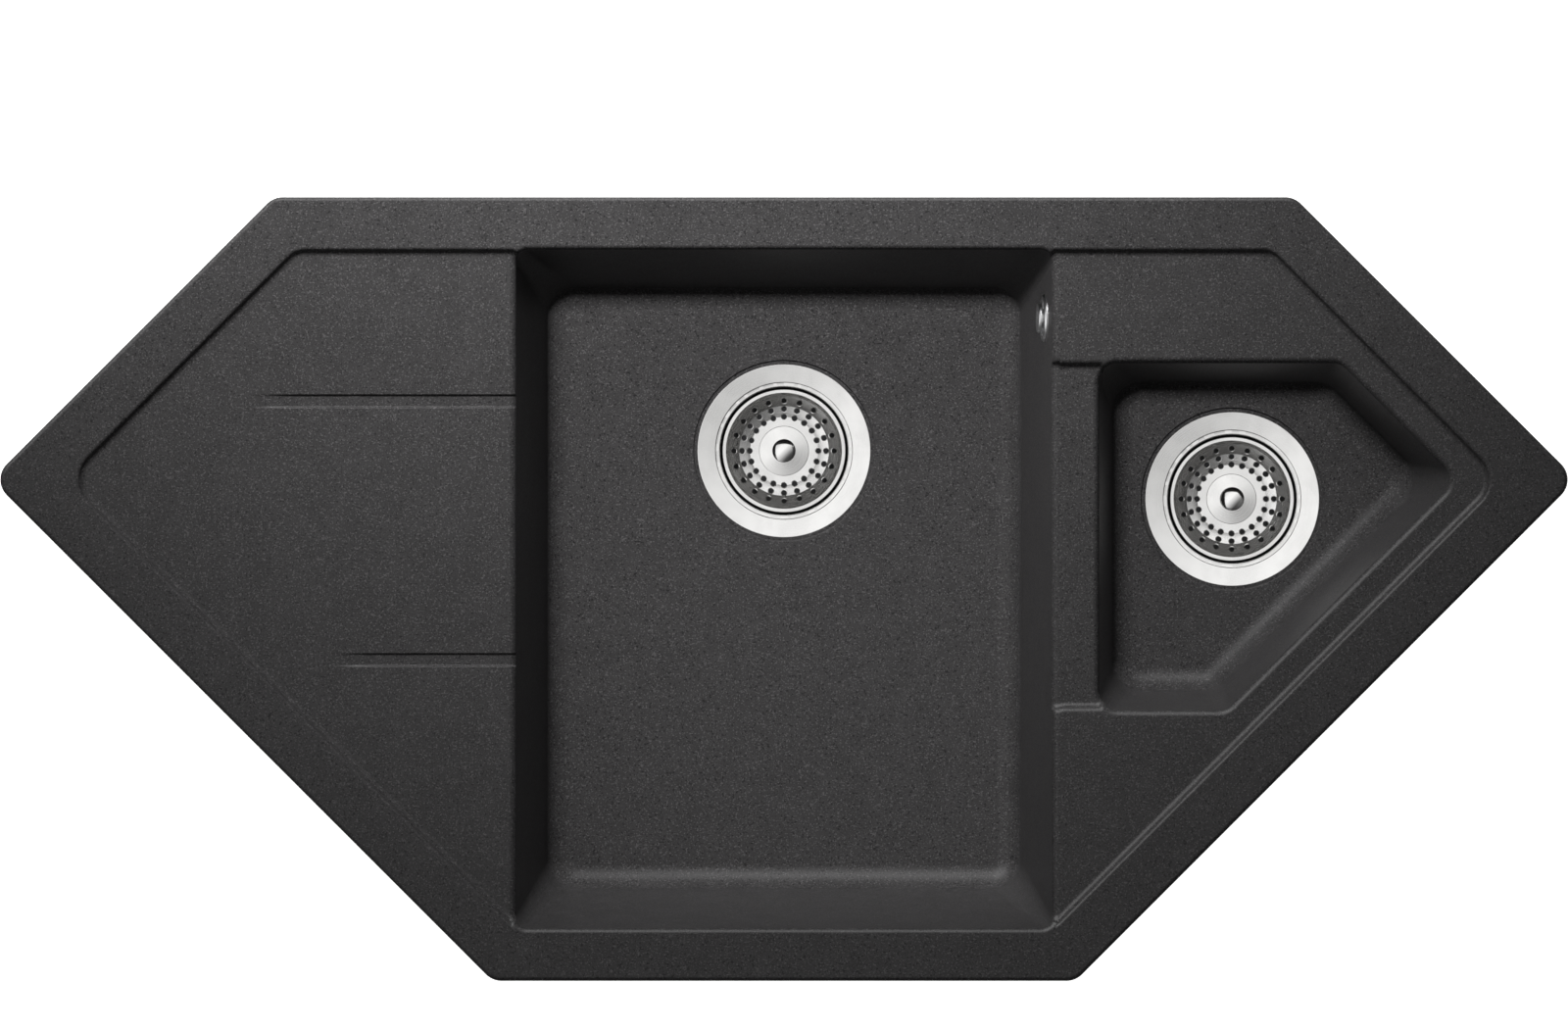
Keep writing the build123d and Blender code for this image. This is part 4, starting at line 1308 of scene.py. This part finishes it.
@dataclass
class Pressing:
    """A turned steel piece, one zone of which has rows of holes.

    The section runs from its outer edge over the top to the middle and back underneath. The zone is filled in
    plan and follows the same section; the upper edge of each hole rolls down on a quarter arc of radius roll.
    A hole's wall starts at a share rim of the roll, where the arc is at its steepest. Margin and clearance
    keep the section's corners off the zone's ends and the holes.
    """

    section: Line
    inner: float
    outer: float
    rows: tuple[Row, ...]
    roll: float = 0.0
    around: int = 120
    hole_points: int = 16
    rim: float = 0.04
    roll_shares: tuple[float, ...] = (0.25, 0.55, 1.0)
    steepest: float = 0.9992
    margin: float = 0.4
    clearance: float = 0.1

    def arcs(self, radius: float, centres: Array, reach: Array) -> list[Array]:
        """Stretches of a circle that stay clear of every hole and its rolled edge.

        Args:
            radius: the circle's radius.
            centres: middles of the holes.
            reach: radii of the holes with their rolled edges.

        Returns:
            The stretches.
        """
        ring = radius * circle(self.around * 3)
        off = ring[:, None] - centres[None]
        clear = (np.hypot(off[..., 0], off[..., 1]) > reach + self.clearance).all(1)
        if clear.all():
            return [np.concatenate([ring, ring[:1]])]
        first = int(np.flatnonzero(~clear)[0])
        ring, clear = np.roll(ring, -first, 0), np.roll(clear, -first)
        turns = np.flatnonzero(clear[1:] != clear[:-1]) + 1
        stretches = [ring[a:b] for a, b in zip([0, *turns], [*turns, len(ring)]) if clear[a]]
        return [stretch for stretch in stretches if len(stretch) > 1]

    def lines(self, centres: Array, size: Array) -> list[Array]:
        """Lines that the zone's mesh follows: circles round each hole's edge, and the section's corners.

        Args:
            centres: middles of the holes.
            size: their radii.

        Returns:
            The lines, in plan.
        """
        made = []
        for share in self.roll_shares if self.roll else ():
            reach = (size + self.roll * share)[:, None, None]
            for ring in centres[:, None] + reach * circle(self.hole_points):
                made.append(np.concatenate([ring, ring[:1]]))
        knots = self.section.points[:, 0]
        knots = knots[(knots > self.inner + self.margin) & (knots < self.outer - self.margin)]
        for radius in np.unique(np.round(knots, 2)):
            made += self.arcs(radius, centres, size + self.roll)
        return made

    def rolled(self, at: Array, centres: Array, size: Array) -> tuple[Array, Array]:
        """How far the upper side rolls down at the edges of the holes, and how steeply.

        At distance d from the middle of a hole of radius R it is lower by s - sqrt(s^2 - (R + s - d)^2),
        where s is the roll. The slope is that of the arc, and points away from the hole.

        Args:
            at: points in plan.
            centres: middles of the holes.
            size: their radii.

        Returns:
            The falls (points,) and the slopes (points, 2).
        """
        off = at[:, None] - centres[None]
        far = np.hypot(off[..., 0], off[..., 1])
        near = (far - size).argmin(1)
        here = np.arange(len(at))
        gap, away = far[here, near], off[here, near]
        reach = np.clip(size[near] + self.roll - gap, 0, self.roll * self.steepest)
        flat = np.sqrt(np.maximum(self.roll**2 - reach**2, 1e-12))
        fallen, steep = (self.roll - flat, reach / flat) if self.roll else (reach, reach)
        return fallen, column(steep) * away / column(np.maximum(gap, 1e-9))

    def zone(self, skin: Skin, centre: Array) -> None:
        """Adds both sides of the zone with holes and the walls of the holes.

        Args:
            skin: takes the patches.
            centre: the axis at the section's height 0.
        """
        centres = np.concatenate([row.centres() for row in self.rows])
        size = np.repeat([row.hole for row in self.rows], [row.count for row in self.rows])
        rings = centres[:, None] + (size + self.rim * self.roll)[:, None, None] * circle(self.hole_points)
        outside = [self.outer * circle(self.around), self.inner * circle(self.around)]
        at, faces = fill([*outside, *rings], self.lines(centres, size))
        fallen, lean = self.rolled(at, centres, size)
        radius = np.hypot(*at.T)
        cut = int(self.section.points[:, 0].argmin()) + 1
        sheets = []
        for part, sign, drop, tilt in ((slice(None, cut), 1, fallen, lean), (slice(cut, None), -1, 0.0, 0.0)):
            height, slope = Line(self.section.points[part], self.section.normals[part]).level(radius)
            fall = column(slope) * at / column(radius) + tilt
            sheets.append(np.column_stack([at, height - drop]))
            skin.add(sheets[-1] + centre, sign * np.column_stack([-fall, np.ones(len(at))]), faces[:, ::sign])
        flat_rings, flat_points = rings.reshape(-1, 2) @ (1, 1j), at @ (1, 1j)
        mark = np.abs(flat_rings - flat_points[:, None]).argmin(0).reshape(rings.shape[:2])
        wall = np.concatenate([sheet[mark].reshape(-1, 3) for sheet in sheets])
        inwards = (np.repeat(centres, self.hole_points, 0) - wall[:mark.size, :2]) @ np.eye(2, 3)
        start = np.arange(mark.size).reshape(mark.shape)
        then = np.roll(start, -1, 1)
        quads = np.stack([start, then, then + mark.size, start + mark.size], 2).reshape(-1, 4)
        skin.add(wall + centre, np.tile(inwards, (2, 1)), quads)

    def build(self, name: str, centre: Array) -> Piece:
        """Makes the object about an upright axis through centre.

        Args:
            name: the object's name.
            centre: the axis at the section's height 0.

        Returns:
            The object.
        """
        skin = Skin()
        for stretch in self.section.outside(self.inner, self.outer):
            skin.turned(stretch, centre, self.around)
        self.zone(skin, centre)
        return skin.build(name)


@dataclass
class Strainer:
    """One basket strainer in pressed steel: a flange with its cup, and the basket that lifts out of it.

    Lengths are in millimetres. Heights are from the floor of the bowl, drop under the flange's highest point
    in CAD. A corner of the cup's lip has its distance outside the cup's wall, its height and its fillet.
    """

    name: str
    sheet: float = 1.0
    drop: float = 1.8
    flange: float = 59.6
    flange_top: float = 1.78
    flange_foot: float = -0.5
    flange_bevel: Pair = (0.35, 0.06)
    flange_inner: float = 47.2
    flange_inner_z: float = 0.5
    cup: float = 43.6
    cup_top: float = -3.2
    cup_lip: tuple[Point, ...] = ((2.9, -1.7, 0.4), (2.1, -1.75, 0.3), (1.5, -1.1, 0.35), (0.7, -1.1, 0.4))
    cup_floor: float = -26.0
    centre_hole: float = 3.4
    cup_zone: Pair = (9.0, 34.0)
    cup_rows: tuple[Row, ...] = (Row(15.0, 8, 3.0), Row(23.0, 12, 3.5))
    rim: float = 42.4
    rim_land: float = 2.6
    rim_z: float = -2.4
    floor_z: float = -15.0
    disc: float = 23.4
    ledge: float = 30.9
    ledge_z: float = -12.6
    side: float = 38.4
    side_z: float = -8.2
    hub: float = 7.4
    hub_z: float = -2.5
    hub_foot: float = 1.6
    dish: float = 17.0
    dish_step: float = 0.16
    knob_hole: float = 2.6
    rows: tuple[Row, ...] = (Row(23.6, 20, 1.62), Row(28.9, 20, 1.62), Row(34.6, 20, 1.62))
    rows_zone: Pair = (19.8, 37.2)
    roll: float = 0.75
    neck: float = 3.5
    knob: float = 8.2
    knob_top: float = 12.0
    knob_edge: tuple[float, float, float] = (0.5, 1.7, 2.6)
    dome: float = 15.0
    dome_lean: float = 30.0
    knob_roughness: float = 0.14
    # the cup's steel under this height is darkened with painted shade, in the hollow under the basket
    painted_shade_below: float = -3.6
    painted_shade_grey: float = 0.1
    painted_shade_roughness: float = 0.5

    def knob_section(self) -> Line:
        """Knob: a neck under a domed cap.

        The dome is one arc of radius R that leans by a at the cap's edge; its two tangents meet R tan(a / 2)
        from the axis. Under the edge the cap turns in to the neck.

        Returns:
            The section.
        """
        lean = math.radians(self.dome_lean)
        meet = self.dome * math.tan(lean / 2)
        edge = self.knob_top - (self.knob - meet) * math.tan(lean)
        inset, under, neck_top = self.knob_edge
        return profile(
            (self.neck, self.hub_z), (self.neck, edge - neck_top, 0.8),
            (self.knob - inset, edge - under, 0.4), (self.knob, edge, 0.7), (meet, self.knob_top, self.dome),
            (0.0, self.knob_top), steps=10)

    def cup_section(self) -> Line:
        """Flange and cup: the flange falls to a rounded lip, then come the cup's wall and floor.

        Returns:
            The section.
        """
        s, r, z, foot, hole = self.sheet, self.cup, self.cup_floor, self.flange_foot, self.centre_hole
        inset, fall = self.flange_bevel
        lip = [(r + out, height, fillet) for out, height, fillet in self.cup_lip]
        return profile(
            (self.flange, foot), (self.flange, self.flange_top - fall, 0.15),
            (self.flange - inset, self.flange_top, 0.2), (self.flange_inner, self.flange_inner_z, 0.6), *lip,
            (r, self.cup_top, 0.6), (r, z, 2.0), (hole, z, 0.3), (hole, z - s, 0.3), (r + s, z - s, 2.4),
            (r + s, foot, 0.2), (self.flange, foot))

    def basket_section(self) -> Line:
        """Basket: a level rim, three steps down the side to a level floor, a low dish and the knob's hub.

        Returns:
            The section.
        """
        s, z, top, foot = self.sheet, self.floor_z, self.hub_z, self.floor_z + self.hub_foot
        above = [
            (self.rim, self.rim_z, 0.4), (self.rim - self.rim_land, self.rim_z, 0.45),
            (self.side, self.side_z, 1.5), (self.ledge, self.ledge_z, 0.7), (self.disc, z, 0.6),
            (self.dish + 0.2, z, 0.3), (self.dish - 0.1, z + self.dish_step, 0.2),
            (self.hub + 0.2, foot, 0.6), (self.hub, top, 0.8), (self.knob_hole, top)]
        below = [
            (self.knob_hole, top - s), (self.hub - s, top - s, 0.3), (self.hub - s, foot - s, 0.5),
            (self.dish, z - s), (self.disc + 0.2, z - s, 0.6), (self.ledge + 0.4, self.ledge_z - s, 0.7),
            (self.side + 0.8, self.side_z - 0.4, 1.5)]
        return profile((self.rim, self.rim_z - s), *above, *below, (self.rim, self.rim_z - s))

    def build(self, finish: SatinSteel) -> None:
        """Makes flange, basket and knob in place of their CAD nodes, and dresses the centre screw.

        Args:
            finish: the steel of the flange and the basket.
        """
        low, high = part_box(self.name + "_strainer_cup")
        middle = (low + high) / 2
        centre = np.array([middle.x / MM, middle.y / MM, high.z / MM - self.drop])
        steel = finish.material(self.name + "_strainer_steel", middle)
        polished = SatinSteel(roughness=self.knob_roughness).material(self.name + "_knob_steel", middle)
        cup = Pressing(self.cup_section(), *self.cup_zone, self.cup_rows)
        cup = cup.build(self.name + "_pressed_strainer_cup", centre)
        basket = Pressing(self.basket_section(), *self.rows_zone, self.rows, self.roll)
        basket = basket.build(self.name + "_pressed_basket", centre)
        skin = Skin()
        skin.turned(self.knob_section(), centre, 64)
        knob = skin.build(self.name + "_domed_knob")
        for piece, node, body, slot, look in (
                (cup, "_strainer_cup", "sink", Slot.STAINLESS, steel),
                (basket, "_basket", self.name + "_basket", Slot.STAINLESS, steel),
                (knob, "_basket_knob", self.name + "_basket", Slot.CHROME, polished)):
            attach(piece, body)
            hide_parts(self.name + node)
            dress(piece, look)
        # darkens the deep part of the cup with painted shade
        self.paint_depth_shade(cup, centre[2] + self.painted_shade_below, middle)
        dress(frame["nodes"][self.name + "_centre_screw"], steel)

    def paint_depth_shade(self, cup: Piece, height: float, middle: Vector) -> None:
        """Gives the faces of the cup that lie under a height, in millimetres, darker and rougher steel; the
        dark grey is painted shade in the cup's depths.

        Args:
            cup: the flange and cup.
            height: the height, in millimetres.
            middle: a point on the cup's axis, in metres.
        """
        # a dark grey steel that paints the shade in the cup's depths; its higher roughness is a duller finish
        shaded_steel = SatinSteel((self.painted_shade_grey,) * 3, self.painted_shade_roughness)
        cup.data.materials.append(shaded_steel.material(self.name + "_raw_steel", middle))
        centres = np.empty(3 * len(cup.data.polygons))
        cup.data.polygons.foreach_get("center", centres)
        cup.data.polygons.foreach_set("material_index", (centres[2::3] < height * MM).astype(np.int32))


@dataclass
class Fittings:
    """Every visible piece: the finer surfaces, and the other CAD nodes with the finish of their slots."""

    steel: SatinSteel = SatinSteel()

    def dress_all(self) -> list[Piece]:
        """Builds the finer surfaces, dresses every CAD node by its slot, and returns the cast pieces.

        Returns:
            The two cast pieces.
        """
        slots = {s["node"]: s["material_slot"] for s in frame["record"]["subparts"]}
        plain = {
            Slot.COMPOSITE: Composite().material(),
            Slot.CHROME: PolishedChrome().material(),
            Slot.ZINC: ZincPlate().material(),
            Slot.RUBBER: Moulded("black_rubber", (0.022, 0.022, 0.023), 0.62).material(),
            Slot.FOAM: Moulded("seal_foam", (0.06, 0.06, 0.062), 0.9, 2200.0, 0.0002, 0.2).material(),
            Slot.BLACK_PLASTIC: Moulded("black_plastic", (0.028, 0.028, 0.03), 0.42).material(),
            Slot.WHITE_PLASTIC: Moulded("white_plastic", (0.6, 0.61, 0.6), 0.34).material(),
        }
        for name in ("main", "half"):
            Strainer(name).build(self.steel)
        casting = Casting()
        top = casting.build().build("sink_casting")
        below = casting.underside("sink_underside")
        for piece in (top, below):
            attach(piece, "sink")
            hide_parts("sink_body")
            dress(piece, plain[Slot.COMPOSITE])
        for name, piece in frame["nodes"].items():
            kind = Slot(slots[name])
            if kind is not Slot.STAINLESS:
                dress(piece, plain[kind])
            log.info("%s has the %s finish", name, kind.value)
        return [top, below]


def main() -> None:
    """Builds the scene in order: studio, then the pieces."""
    logging.basicConfig(level=logging.INFO)
    studio = Studio()
    studio.build()
    studio.light_gloss(Fittings().dress_all())
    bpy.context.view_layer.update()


if __name__ == "__main__":
    main()
